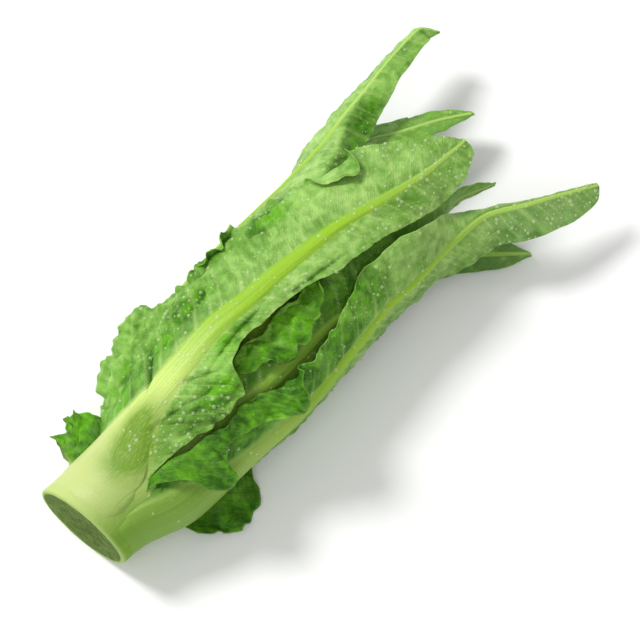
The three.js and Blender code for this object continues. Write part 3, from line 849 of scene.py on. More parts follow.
class LeafWeave(Weave):
    """A leaf's node tree, with what is stored on its points and the noises that its colours share.

    A noise has so many lumps to a metre, or is stretched so much along and across the leaf.
    """

    CLOUDS, MOTTLE, GRAIN = 38.0, 210.0, 700.0
    STREAKS, FIBRES = (0.012, 0.9, 0.0), (0.05, 0.35, 0.0)
    LEAN_BACK, LEAN_WIDTH = -0.8, 0.35
    NET, FINER_NET = 0.3, 0.8

    def __init__(self, name: str) -> None:
        """Reads the stored numbers and sets out the noises."""
        super().__init__(name)
        surface, (self.x, across, self.inside) = self.attribute("surface")
        _, (self.rib, self.vein, self.stalk) = self.attribute("tissue")
        _, (self.patch, self.share, self.height) = self.attribute("tone")
        _, (self.green, self.grey, self.pale) = self.attribute("hue")
        self.place = self.position()
        self.clouds = self.noise(self.place, self.CLOUDS, 4.0)
        self.mottle = self.noise(self.place, self.MOTTLE, 4.0)
        self.streaks = self.noise(self.scaled(surface, self.STREAKS), 1.0, 4.0)
        self.fibres = self.noise(self.scaled(surface, self.FIBRES), 5.0, 5.0)
        out = self.maths("ABSOLUTE", across)
        back = self.maths("MULTIPLY_ADD", out, self.LEAN_BACK, self.x)
        leaning = self.joined(back, self.times(out, self.LEAN_WIDTH))
        fine, finer = self.net(leaning, self.NET), self.net(leaning, self.FINER_NET)
        self.net_lines = self.maths("MAXIMUM", self.ramp(fine, 0.1, 0.0), self.part(finer, 0.12, 0.0, 0.6))
        self.grown_lines = self.noise(self.scaled(leaning, (1.0, 0.5, 0.0)), 0.3, 3.0)

    def clouded(self, value: Socket, low: float, high: float) -> Socket:
        """A number made uneven by soft clouds, held between 0 and 1."""
        uneven = self.maths("MULTIPLY_ADD", self.ramp(self.clouds, low, high), 0.5, 0.6)
        return self.maths("MULTIPLY", value, uneven, clamp=True)


@dataclass(frozen=True)
class LeafFinish:
    """The living skin of a ring of leaves. Colours are what the light side of each tissue shows."""

    name: str
    blade: Colour
    blade_dark: Colour
    face_up: Colour
    face_up_dark: Colour
    rib_low: Colour
    rib_high: Colour
    stalk: Colour
    stalk_green: Colour
    patch: Colour
    vein: Colour
    grey: Colour
    roughness: float = 0.4

    def blade_colour(self, w: LeafWeave) -> Socket:
        """The blade: clouded, deeper green where it faced inwards, painted shade in its hollows, netted with
        veins.
        """
        dark = w.ramp(w.plus(w.times(w.clouds, 0.7), w.times(w.mottle, 0.6)), 0.45, 0.85)
        blade = w.mix(dark, self.blade, self.blade_dark)
        vivid = w.maths("MULTIPLY_ADD", w.ramp(w.green, 0.98, 1.2), -0.7, 1.0)
        face_up = w.mix(w.times(dark, vivid), self.face_up, self.face_up_dark)
        blade = w.mix(w.maths("MAXIMUM", w.inside, w.clouded(w.green, 0.3, 0.6)), blade, face_up)
        blade = w.mix(w.grey, blade, self.grey)
        # Painted shade: the blade darkens towards face_up_dark where it dips into hollows and creases.
        hollow = w.plus(w.part(w.height, 0.5, -0.9, 0.65), w.part(w.height, -1.2, -3.0, 0.3))
        blade = w.mix(hollow, blade, self.face_up_dark)
        blade = w.mix(w.part(w.grown_lines, 0.45, 0.7, 0.3), blade, self.blade_dark)
        veins = w.maths("MAXIMUM", w.times(w.net_lines, 0.07), w.times(w.vein, 0.5))
        blade = w.mix(veins, blade, self.vein)
        return w.mix(w.part(w.share, 0.965, 1.0, 0.2), blade, self.vein)

    def rib_colour(self, w: LeafWeave) -> Socket:
        """The midrib: pale near the stem, greener further out, with fine lines along it."""
        rib = w.mix(w.ramp(w.x, 62.0, 128.0), self.rib_low, self.rib_high)
        rib = w.mix(w.part(w.streaks, 0.4, 0.75, 0.45), rib, self.blade_dark)
        rib = w.mix(w.part(w.fibres, 0.5, 0.75, 0.22), rib, self.stalk)
        return w.mix(w.part(w.x, 190.0, 290.0, 0.6), rib, self.vein)

    def stalk_colour(self, w: LeafWeave) -> Socket:
        """The stalk: paler towards the key lamp and greener away from it, partly its own colour and partly
        painted light, plain at its very base.
        """
        # Painted light in part: paler on the side towards the key lamp, greener and darker on the side away.
        stalk = w.mix(w.pale, self.stalk_green, self.stalk)
        past_base = w.ramp(w.x, 12.0, 34.0)
        stalk = w.mix(w.times(w.ramp(w.streaks, 0.35, 0.75), w.times(past_base, 0.16)), stalk, self.rib_low)
        clouded = w.times(w.ramp(w.clouds, 0.5, 0.75), w.times(past_base, 0.3))
        return w.mix(clouded, stalk, self.stalk_green)

    def relief(self, w: LeafWeave) -> Socket:
        """The height of what is too fine to model: the net, lines along the rib, grain and wrinkles."""
        soft = w.maths("SUBTRACT", 1.0, w.maths("MAXIMUM", w.rib, w.stalk))
        ridges = w.times(w.maths("MULTIPLY_ADD", w.grown_lines, -2.0, w.net_lines), w.times(soft, 0.3))
        lines = w.plus(w.times(w.streaks, 0.6), w.times(w.fibres, 0.08))
        lines = w.times(lines, w.maths("SUBTRACT", 1.0, soft))
        lines = w.times(lines, w.maths("MULTIPLY_ADD", w.stalk, -0.6, 1.0))
        grain = w.times(w.noise(w.place, w.GRAIN, 3.0), 0.5)
        wrinkles = w.times(w.times(w.mottle, soft), 1.1)
        return w.plus(w.plus(ridges, lines), w.plus(grain, wrinkles))

    def material(self) -> bpy.types.Material:
        """Builds the material.

        Returns:
            A material that follows the leaf's own surface: pale at the stalk and rib, netted with veins,
            and deeper green on the face that lay inwards.
        """
        w = LeafWeave(self.name)
        stalk = self.stalk_colour(w)
        colour = w.mix(w.stalk, self.blade_colour(w), stalk)
        colour = w.mix(w.rib, colour, w.mix(w.stalk, self.rib_colour(w), stalk))
        flecked = w.mix(w.part(w.fibres, 0.45, 0.75, 0.3), self.patch, self.rib_low)
        colour = w.mix(w.times(w.clouded(w.patch, 0.3, 0.7), 0.92), colour, flecked)
        w.put(w.shader.inputs["Base Color"], colour)
        w.put(w.shader.inputs["Roughness"], w.maths("MULTIPLY_ADD", w.mottle, 0.3, self.roughness - 0.15))
        w.set({"IOR": 1.42, "Specular IOR Level": 0.2, "Subsurface Weight": 0.15,
               "Subsurface Radius": (0.45, 1.0, 0.1), "Subsurface Scale": 0.0016})
        w.bump(self.relief(w), 0.0008, 0.6)
        return w.material


@dataclass(frozen=True)
class StemFinish:
    """The cut stem: a dull wet cut face in a paler rim, and a pale flank with fine lines along it."""

    name: str = "cut stem"
    rim: Colour = seen(164, 188, 108)
    ring: Colour = seen(88, 114, 42)
    middle: Colour = seen(72, 98, 18)
    dark: Colour = seen(60, 84, 24)
    flank: Colour = seen(184, 200, 124)
    flank_green: Colour = seen(118, 158, 56)

    def material(self) -> bpy.types.Material:
        """Builds the material from the share of the way to the rim, the cut and the pale side."""
        w = Weave(self.name)
        _, (pale, share, cut) = w.attribute("surface")
        place = w.position()
        rays = w.noise(w.scaled(place, (1.0, 90.0, 90.0)), 3.0, 5.0)
        clouds = w.noise(place, 70.0, 4.0)
        mottle = w.noise(place, 420.0, 4.0)
        spread = w.plus(share, w.maths("MULTIPLY_ADD", clouds, 0.7, -0.35))
        wood = w.mix(w.ramp(spread, 0.2, 0.62), self.middle, self.ring)
        wood = w.mix(w.part(rays, 0.42, 0.7, 0.22), wood, self.rim)
        wood = w.mix(w.part(mottle, 0.45, 0.7, 0.55), wood, self.dark)
        wood = w.mix(w.ramp(w.plus(share, w.times(mottle, 0.03)), 0.95, 0.99), wood, self.rim)
        lines = w.noise(w.scaled(place, (3.0, 110.0, 110.0)), 6.0, 4.0)
        # The flank is paler towards the key lamp and greener away from it: partly its own colour, partly
        # painted light.
        flank = w.mix(pale, self.flank_green, self.flank)
        flank = w.mix(w.part(lines, 0.4, 0.75, 0.1), flank, self.rim)
        w.put(w.shader.inputs["Base Color"], w.mix(cut, flank, wood))
        w.put(w.shader.inputs["Roughness"], w.maths("MULTIPLY_ADD", mottle, 0.3, 0.5))
        w.set({"IOR": 1.4, "Specular IOR Level": 0.08, "Subsurface Weight": 0.2,
               "Subsurface Radius": (0.6, 1.0, 0.2), "Subsurface Scale": 0.003})
        w.bump(w.plus(w.times(lines, 0.6), w.plus(mottle, rays)), 0.0006, 0.5)
        return w.material


@dataclass(frozen=True)
class WaterFinish:
    """Clear beads of water that catch the light, their pale colour a painted sheen."""

    name: str = "water"
    painted_sheen: Colour = seen(224, 242, 184)
    cover: float = 0.34

    def material(self) -> bpy.types.Material:
        """Builds the material."""
        w = Weave(self.name)
        # Painted sheen: a pale colour over the clear beads.
        w.put(w.shader.inputs["Base Color"], self.painted_sheen)
        w.set({"Alpha": self.cover, "Roughness": 0.14, "IOR": 1.33, "Specular IOR Level": 0.7})
        return w.material


OUTER_FINISH = LeafFinish(
    name="outer leaf",
    blade=seen(170, 208, 116),
    blade_dark=seen(110, 160, 58),
    face_up=seen(98, 168, 14),
    face_up_dark=seen(38, 92, 6),
    rib_low=seen(204, 224, 126),
    rib_high=seen(148, 190, 46),
    stalk=seen(186, 200, 126),
    stalk_green=seen(118, 158, 56),
    patch=seen(94, 136, 20),
    vein=seen(182, 214, 120),
    grey=seen(120, 154, 90),
)
SECOND_FINISH = replace(
    OUTER_FINISH,
    name="second leaf",
    blade=seen(132, 178, 70),
    blade_dark=seen(92, 146, 40),
    rib_low=seen(166, 196, 84),
    rib_high=seen(140, 180, 66),
    stalk=seen(156, 190, 92),
    stalk_green=seen(104, 152, 44),
)
INNER_FINISH = replace(
    OUTER_FINISH,
    name="young leaf",
    blade=seen(150, 194, 84),
    blade_dark=seen(118, 170, 56),
    face_up=seen(120, 174, 50),
    face_up_dark=seen(84, 140, 30),
    stalk=seen(200, 220, 140),
)
HEART_FINISH = replace(
    INNER_FINISH,
    name="heart leaf",
    blade=seen(188, 214, 122),
    blade_dark=seen(158, 196, 88),
    face_up=seen(176, 206, 100),
    face_up_dark=seen(140, 184, 66),
)
FINISHES: Dict[Ring, Tuple[LeafFinish, str]] = {
    Ring.OUTER: (OUTER_FINISH, "leaf_outer"),
    Ring.SECOND: (SECOND_FINISH, "leaf_second"),
    Ring.INNER: (INNER_FINISH, "leaf_inner"),
    Ring.HEART: (HEART_FINISH, "leaf_heart"),
}


@dataclass(frozen=True)
class RingHabit:
    """What the leaves of one ring have in common."""

    ring: Ring
    rib: Value
    rib_out: Value
    rib_in: Value
    rib_shape: Value
    detail: Detail


OUTER_HABIT = RingHabit(
    ring=Ring.OUTER,
    rib=((14, 15), (30, 15), (50, 12), (70, 9), (92, 6.5), (133, 4.7), (190, 3), (245, 1.8), (268, 0.8)),
    rib_out=((2.5, 2.3), (7, 3.1), (14, 3.5), (40, 2.9), (64, 2.3), (92, 1.9), (130, 1.4), (190, 1),
             (245, 0.6), (330, 0.3)),
    rib_in=((14, 2.9), (40, 2), (70, 1), (110, 0.5), (270, 0.1)),
    rib_shape=((14, 16), (30, 9), (45, 4), (90, 2.4)),
    detail=Detail(1.5, 7, 28),
)
SECOND_HABIT = RingHabit(
    ring=Ring.SECOND,
    rib=((28, 11.4), (45, 9.5), (70, 7), (130, 3.6), (240, 1.2)),
    rib_out=((28, 2.4), (64, 2), (92, 1.6), (130, 1.1), (240, 0.4)),
    rib_in=((28, 2.4), (64, 1.2), (110, 0.4)),
    rib_shape=2.4,
    detail=Detail(1.8, 5, 25),
)
INNER_HABIT = RingHabit(
    ring=Ring.INNER,
    rib=((40, 9), (70, 6), (130, 3), (220, 1.2)),
    rib_out=((40, 2.2), (80, 1.2), (130, 0.8), (220, 0.3)),
    rib_in=((40, 2), (80, 0.7), (130, 0.2)),
    rib_shape=2.4,
    detail=Detail(2.6, 4, 16),
)
HEART_HABIT = RingHabit(
    ring=Ring.HEART,
    rib=((50, 6), (90, 4), (190, 1.5)),
    rib_out=((50, 1.5), (90, 0.8), (190, 0.3)),
    rib_in=((50, 1.5), (90, 0.3)),
    rib_shape=2.2,
    detail=Detail(2.8, 4, 12),
)


def leaf_of(habit: RingHabit, node: str, **own: object) -> Leaf:
    """A leaf with its ring's habit and its own sizes."""
    return Leaf(node=node, **{**vars(habit), **own})


def even_leaf(habit: RingHabit, node: str, width: Rows, phase: float, **own: object) -> Leaf:
    """A leaf that is alike on both sides of its rib."""
    left = Side(width=width, wave=2.0, phase=phase)
    right = Side(width=width, wave=2.0, phase=phase + 2)
    return leaf_of(habit, node, left=left, right=right, seed=int(phase) + 11, **own)


# Where a leaf is folded over, as a share of the way from rib to margin
FRONT_FOLD: Rows = ((110, 0.7), (126, 0.9), (132, 0.91), (140, 0.77), (150, 0.77), (158, 0.86), (166, 0.92),
                    (200, 0.92), (208, 0.77), (213, 0.685), (218, 0.645), (223, 0.72), (228, 0.92))
FLAP_FOLD: Rows = ((34, 0.8), (41, 0.66), (47, 0.56), (50, 0.44), (57, 0.41), (63, 0.45), (67, 0.57),
                   (72, 0.67), (78, 0.69), (87, 0.65), (98, 0.59), (106, 0.54), (114, 0.56), (122, 0.73))
TIP_FOLD: Rows = ((205, 0.9), (221, 0.66), (269, 0.05))
BETWEEN_FOLD: Rows = ((92, 0.9), (102, 0.68), (112, 0.563), (132, 0.472), (150, 0.551), (160, 0.66),
                      (168, 0.9))


def front_leaf() -> Leaf:
    """The broad leaf on top, with a waist on its right and crumpled lobes on its left."""
    return leaf_of(
        OUTER_HABIT,
        "leaf_front",
        reach=(2.5, 277),
        angle=((14, -27), (42, -26), (65, -22), (92, -16), (111, -13), (133, -7), (159, -3), (189, 2),
               (216, 11), (245, 21), (274, 28)),
        rib=((14, 20), (30, 20), (50, 13), (63, 9), (92, 6.5), (133, 4.7), (190, 3), (245, 1.6), (275, 0.8)),
        cup=((200, 1), (270, 0.5)),
        stalk=(32.0, 66.0),
        wet=1.0,
        seed=3,
        detail=Detail(0.86, 9, 42),
        patches=(Patch(41, 8, 13, 10, 2.2), Patch(58, 3, 12, 6, 0.8)),
        # Some patches are the blade's own vivid green, some painted shade in its dark slits and folds.
        shades=(Patch(57, -19, 9, 8, 1.0), Patch(72, -35, 13, 3.5, 0.9), Patch(84, -19, 11, 6, 0.5),
                Patch(94, -16, 5, 4, 0.8), Patch(116, -18, 13, 5, 0.9), Patch(178, -27, 17, 8, 1.25),
                Patch(142, -36, 12, 9, 0.7), Patch(84, 22, 10, 5, 0.6), Patch(96, 24, 8, 8, 0.7),
                Patch(107, 12, 10, 6, 0.9), Patch(117, 9, 15, 3, 0.8), Patch(166, 13, 15, 2.5, 0.5)),
        pale_backs=(Patch(214, -34, 11, 12, 1.0),),
        left=Side(
            width=((14, 21.5), (30, 23.4), (45, 28.5), (50, 32), (55, 45), (63, 53), (80, 54), (96, 47),
                   (112, 39), (124, 35), (132, 40), (140, 46), (150, 47), (158, 43), (164, 39), (175, 38),
                   (190, 35.5), (203, 33), (208, 36), (213, 40), (218, 42), (223, 38), (227, 33), (232, 30),
                   (243, 23.5), (265, 11), (274, 4), (277, 0.9)),
            wave=((40, 0), (55, 10), (105, 12), (130, 7), (200, 4), (260, 3)),
            lobe=((40, 0), (55, 0.03), (110, 0.04), (140, 0.03), (160, 0.0), (250, 0.01)),
            wave_length=31,
            phase=0.6,
            folds=(
                Fold(at=0.62, length=0.45, angle=((40, 0), (57, 46), (95, 44), (118, 0))),
                Fold(at=FRONT_FOLD, length=0.1,
                     angle=((126, 0), (134, 120), (156, 140), (165, 0), (202, 0), (208, 165), (221, 166),
                            (228, 0))),
            ),
            creases=(Crease(79.5, 16, 10, 2.2, 5.5, 1.0), Crease(72, 35.5, 12, 2.4, 3.6, 0.15),
                     Crease(73, 43, 12, 2.6, -2.2, 0.6), Crease(94, 16, 5, 1.3, 1.6, 0.3),
                     Crease(116, 17, 12, 1.6, 2.0, 0.1), Crease(180, 32, 15, 1.6, 1.4, 0.05),
                     Crease(190, 25, 6, 1.1, 1.0, 0.5), Crease(170, 22, 7, 1.2, 0.9, -0.4)),
            green=((50, 0.7), (100, 0.45), (160, 0.2), (200, 0.05)),
            pucker=((50, 0.2), (75, 1.6), (130, 1.4), (190, 0.7), (240, 0.3)),
            ruffle=((45, 0.0), (60, 1.0), (110, 0.9), (150, 1.4), (190, 1.0), (240, 0.2)),
            teeth=((40, 0.0), (60, 0.5), (120, 0.4), (150, 1.2), (170, 0.5), (250, 0.2)),
            crumple=((50, 0), (65, 2.6), (110, 2.8), (150, 2.2), (165, 1.6), (190, 1.2), (215, 0)),
            crumple_from=0.2,
        ),
        right=Side(
            width=((14, 25.4), (24, 25), (30, 23.5), (37, 22.3), (47, 24.4), (57, 26.8), (83, 33), (95, 32.5),
                   (104, 17), (120, 14), (150, 13), (177, 17.5), (209, 17), (237, 18), (257, 16), (269, 12),
                   (274.5, 8.5), (277, 4)),
            wave=((60, 0), (80, 5), (100, 0), (200, 3)),
            lobe=((60, 0), (85, 0.03), (110, 0.05), (160, 0.02)),
            phase=2,
            pucker=((45, 0.2), (65, 2.1), (100, 1.9), (140, 0.7), (240, 0.25)),
            crumple=((50, 0), (70, 1.6), (98, 1.6), (112, 0)),
            creases=(Crease(78, 17, 14, 1.6, 1.8, 0.35), Crease(62, 12, 10, 1.5, 1.4, 0.3),
                     Crease(90, 12, 9, 1.4, 1.6, 0.6), Crease(116, 9.8, 24, 1.3, 2.0, -0.15),
                     Crease(164, 12.4, 17, 1.2, 1.6, 0.05)),
            green=((50, 0.3), (90, 0.45), (110, 0.2), (170, 0.0)),
        ),
    )


def right_leaf() -> Leaf:
    """The right leaf, its lower edge turned back over its own stalk and its tip reaching out."""
    return leaf_of(
        OUTER_HABIT,
        "leaf_right",
        reach=(2.5, 312),
        depth=1,
        angle=((14, 83), (24, 82), (42, 80), (80, 80), (131, 79), (155, 75), (180, 71), (200, 71), (226, 72),
               (252, 74), (277, 80), (293, 84), (312, 87)),
        lift=((185, 0), (200, 3), (226, 5.4), (252, 10.4), (277, 26), (293, 35), (312, 47)),
        rib=((14, 19), (30, 20), (50, 15), (70, 9), (92, 7), (133, 4.7), (190, 3), (245, 1.8), (310, 0.8)),
        cup=((180, 1), (230, 0.4), (300, 0)),
        roll=((218, 0), (250, -32), (275, -52), (312, -58)),
        free=(195, 235),
        stalk=(40.0, 150.0),
        wet=0.8,
        seed=5,
        detail=Detail(0.95, 9, 42),
        left=Side(
            width=((14, 20.2), (24, 24), (30, 28), (34, 33), (37, 37), (41, 41), (47, 48), (50, 59),
                   (57, 64), (63, 61), (67, 51), (72, 45), (78, 43), (87, 46), (98, 54), (106, 50),
                   (114, 42), (122, 30), (131, 24), (150, 23), (178, 27), (208, 29), (231, 19), (252, 8),
                   (312, 0.9)),
            wave=((30, 0), (45, 7), (75, 7), (100, 4), (210, 3)),
            lobe=((40, 0), (55, 0.04), (75, 0.03), (120, 0.02)),
            wave_length=19,
            phase=1,
            folds=(
                Fold(at=FLAP_FOLD, length=0.15, angle=((26, 0), (36, 158), (84, 160), (110, 125), (126, 0))),
                Fold(at=0.2, length=0.4, angle=((232, 0), (258, -95))),
            ),
            ruffle=((40, 0.0), (50, 0.9), (110, 1.2), (150, 0.6), (230, 0.25)),
            crumple=((40, 0), (60, 0.8), (84, 1.2), (100, 2.4), (120, 2.2), (145, 0.6), (170, 0.2)),
            crumple_from=0.3,
            green=((60, 0.97), (178, 0.97), (196, 0.2), (210, 0.0)),
            grey=((240, 0), (265, 0.6)),
        ),
        right=Side(
            width=((14, 19.2), (40, 20.6), (60, 22), (80, 28), (130, 34), (195, 31), (235, 21), (255, 18),
                   (270, 18), (295, 15), (304, 12), (309, 8.5), (311.5, 4), (312, 1.5)),
            green=((60, 0.6), (180, 0.5), (210, 0.1), (230, 0.0)),
            grey=((235, 0), (265, 0.8)),
            vein_gap=6.5,
            wave=((60, 0), (100, 4), (200, 4), (290, 2)),
            lobe=((60, 0), (100, 0.03)),
            phase=4,
        ),
    )


def left_leaf() -> Leaf:
    """The left leaf, creased near its hooked tip, its lower edge turned out in a frill."""
    return leaf_of(
        OUTER_HABIT,
        "leaf_left",
        reach=(2.5, 331),
        depth=1,
        angle=((14, -112), (40, -110), (70, -100), (100, -86), (136, -76), (182, -73), (213, -65), (263, -67),
               (304, -70), (324, -73), (331, -72)),
        lift=((200, 0), (230, 2.5), (263, 9), (304, 15.3), (324, 16.5), (331, 8.5)),
        rib=((14, 12), (30, 12), (50, 9), (70, 7.5), (92, 6), (133, 4.7), (190, 3), (245, 1.8), (330, 0.8)),
        cup=((180, 1), (230, 0.5), (300, 0.2)),
        roll=((200, 0), (240, 14), (331, 14)),
        free=(195, 235),
        wet=0.45,
        # Painted shade on the strip past the tip fold, which turns away from the light.
        shades=(Patch(222, 26, 10, 7, 0.95), Patch(238, 20, 10, 7, 0.95), Patch(254, 14, 10, 7, 0.9),
                Patch(270, 9, 11, 6, 0.85)),
        seed=7,
        detail=Detail(1.1, 8, 37),
        left=Side(
            width=((14, 14.4), (40, 15.4), (60, 22), (100, 32), (150, 34), (200, 26), (225, 18), (280, 10),
                   (310, 7), (322, 6), (331, 0.9)),
            wave=((60, 0), (90, 6), (200, 5), (300, 3)),
            lobe=((60, 0), (100, 0.04)),
            phase=5,
        ),
        right=Side(
            width=((14, 13.3), (20, 14.2), (27, 32), (42, 34), (47, 25), (51, 14.5), (58, 15), (68, 26),
                   (80, 31), (136, 34), (190, 34), (221, 30), (248, 22), (272, 14.5), (294, 11), (310, 10),
                   (322, 9), (328, 6), (331, 0.9)),
            wave=((20, 0), (28, 26), (44, 26), (52, 0), (200, 2)),
            lobe=((20, 0), (30, 0.1), (45, 0.06), (52, 0), (90, 0.02)),
            wave_length=17,
            phase=3,
            folds=(
                Fold(at=0.16, length=0.24, angle=((17, 0), (25, 104), (44, 100), (56, 0))),
                Fold(at=TIP_FOLD, length=0.05, angle=((200, 0), (222, -80), (290, -60))),
            ),
            green=((14, 0.97), (52, 0.97), (62, 0.3), (200, 0.1), (260, 0.1), (290, 0.35), (330, 0.3)),
            ruffle=((20, 0.0), (26, 2.3), (46, 2.3), (54, 0.4), (120, 0.6), (230, 0.25)),
            ruffle_length=9.0,
            teeth=((20, 0.0), (26, 3.0), (46, 3.0), (54, 0.4), (150, 0.5), (250, 0.2)),
            crumple=((20, 0), (27, 1.8), (46, 1.8), (54, 0)),
        ),
    )


def under_leaf() -> Leaf:
    """The leaf underneath, flattened where the head rests, with one edge spread along the surface."""
    return leaf_of(
        OUTER_HABIT,
        "leaf_under",
        reach=(2.5, 268),
        depth=2,
        angle=((14, 172), (130, 172), (170, 168), (200, 163), (268, 160)),
        sway=((195, 0), (215, -7), (239, -24), (255, -43), (268, -59)),
        rise=((200, 0), (240, -2), (268, 0)),
        cup=((180, 1), (220, 0.2)),
        free=(190, 225),
        seed=9,
        left=Side(
            width=((14, 17.2), (30, 18), (42, 42), (56, 47), (70, 43), (82, 30), (100, 30), (150, 32),
                   (200, 24), (240, 14), (258, 9), (268, 0.9)),
            wave=((30, 0), (45, 9), (78, 9), (100, 2), (210, 3)),
            lobe=((30, 0), (50, 0.1), (85, 0.04)),
            wave_length=24,
            phase=2.5,
            folds=(Fold(at=0.08, length=0.2, angle=((28, 0), (40, 48), (72, 48), (88, 0))),),
            ruffle=((32, 0.0), (44, 1.3), (80, 1.3), (100, 0.4), (230, 0.25)),
            teeth=((32, 0.0), (44, 1.6), (80, 1.6), (100, 0.5), (250, 0.2)),
            green=0.8,
            grey=((195, 0), (215, 0.7)),
        ),
        right=Side(
            width=((14, 16.4), (40, 17.8), (60, 22), (100, 32), (150, 32), (200, 26), (240, 16), (258, 10),
                   (268, 0.9)),
            wave=((100, 0), (150, 2), (210, 3)),
            lobe=((60, 0), (100, 0.03)),
            phase=1.5,
            green=0.7,
            grey=((195, 0), (215, 0.7)),
        ),
    )


def second_ring() -> List[Leaf]:
    """Five leaves, of which two show between the outer ones."""
    between = leaf_of(
        SECOND_HABIT,
        "leaf_between",
        reach=(28, 282),
        angle=((28, 28), (60, 34), (98, 42), (141, 48), (180, 56), (220, 72), (255, 90), (282, 100)),
        lift=((200, 0), (255, -3), (282, 8)),
        free=(200, 245),
        cup=((200, 1), (250, 0.5)),
        wet=0.3,
        patches=(Patch(70, 4, 26, 14, 1.6),),
        seed=13,
        detail=Detail(1.2, 5, 38),
        left=Side(
            width=((28, 12), (60, 15.5), (84, 20), (94, 24), (102, 31), (112, 39), (124, 42), (132, 48),
                   (142, 46), (150, 41), (158, 38), (166, 27), (180, 25), (200, 22), (255, 12), (272, 8),
                   (282, 0.9)),
            wave=((85, 0), (105, 7), (160, 7), (180, 3)),
            wave_length=21,
            lobe=((90, 0), (110, 0.06), (160, 0.06), (180, 0.02)),
            phase=0.4,
            folds=(Fold(at=BETWEEN_FOLD, length=0.1, angle=((91, 0), (101, 158), (158, 160), (168, 0))),),
            crumple=((90, 0), (110, 2.2), (165, 2.2), (185, 0)),
            crumple_from=0.3,
            teeth=((85, 0.3), (100, 2.6), (160, 2.6), (180, 0.3)),
            green=((60, 0.8), (180, 0.7), (230, 0.2)),
        ),
        right=Side(
            width=((28, 12), (60, 15.5), (100, 26), (150, 30), (200, 24), (255, 12), (272, 8), (282, 0.9)),
            wave=2.0,
            phase=2.2,
        ),
    )
    behind = leaf_of(
        SECOND_HABIT,
        "leaf_behind",
        reach=(28, 308),
        depth=1,
        angle=((28, -45), (60, -50), (150, -58), (200, -68), (230, -80), (255, -88)),
        lift=((220, 0), (255, 0.6), (300, 3)),
        sway=((240, 0), (255, -1), (271, -9), (288, -18), (308, -31)),
        rise=((280, 0), (308, -4)),
        roll=((236, 0), (266, 50), (308, 60)),
        free=(205, 245),
        cup=((200, 1), (250, 0.2)),
        wet=0.2,
        seed=14,
        left=Side(
            width=((28, 12), (60, 15.5), (100, 26), (150, 30), (200, 24), (250, 16), (280, 11), (298, 7),
                   (308, 0.9)),
            wave=2.0,
            phase=1.4,
        ),
        right=Side(
            width=((28, 12), (60, 15.5), (100, 26), (150, 30), (200, 25), (230, 26), (250, 21), (280, 13),
                   (298, 8), (308, 0.9)),
            wave=2.0,
            phase=3.2,
        ),
    )
    lower_left = even_leaf(
        SECOND_HABIT,
        "leaf_lower_left",
        reach=(28, 232),
        angle=((28, -117), (60, -119), (180, -123), (232, -130)),
        width=((28, 12), (60, 15.5), (120, 29), (175, 24), (210, 15), (225, 8), (232, 0.9)),
        phase=4,
    )
    lower_right = even_leaf(
        SECOND_HABIT,
        "leaf_lower_right",
        reach=(28, 254),
        depth=2,
        angle=((28, 100), (60, 103), (120, 114), (254, 124)),
        width=((28, 12), (60, 15.5), (120, 29), (190, 26), (232, 15), (247, 8), (254, 0.9)),
        phase=5,
    )
    lower_middle = even_leaf(
        SECOND_HABIT,
        "leaf_lower_middle",
        reach=(28, 246),
        depth=1,
        angle=((28, 172), (60, 172), (120, 180), (246, 186)),
        width=((28, 12), (60, 15.5), (120, 28), (190, 25), (226, 15), (239, 8), (246, 0.9)),
        phase=6,
    )
    return [between, behind, lower_left, lower_right, lower_middle]


def young_leaves() -> List[Leaf]:
    """The young leaves packed inside."""
    return [
        even_leaf(INNER_HABIT, "leaf_young_top", reach=(40, 224), angle=((40, 0), (224, 8)), phase=0,
                  width=((40, 10), (70, 15), (120, 22), (180, 20), (212, 10), (224, 0.9))),
        even_leaf(INNER_HABIT, "leaf_young_right", reach=(40, 236), depth=1, angle=((40, 90), (236, 84)),
                  phase=1, width=((40, 10), (70, 15), (120, 22), (180, 20), (222, 10), (236, 0.9))),
        even_leaf(INNER_HABIT, "leaf_young_left", reach=(40, 230), depth=1, angle=((40, -90), (230, -84)),
                  phase=3, width=((40, 10), (70, 15), (120, 22), (180, 20), (218, 10), (230, 0.9))),
        even_leaf(INNER_HABIT, "leaf_young_under", reach=(40, 214), angle=((40, 180), (214, 176)), phase=5,
                  width=((40, 10), (70, 15), (120, 20), (180, 18), (204, 9), (214, 0.9))),
        even_leaf(HEART_HABIT, "leaf_heart_right", reach=(50, 202), angle=55.0, phase=2,
                  width=((50, 8), (90, 14), (150, 16), (190, 8), (202, 0.9))),
        even_leaf(HEART_HABIT, "leaf_heart_left", reach=(50, 190), angle=-125.0, phase=4,
                  width=((50, 8), (90, 14), (150, 16), (180, 8), (190, 0.9))),
    ]


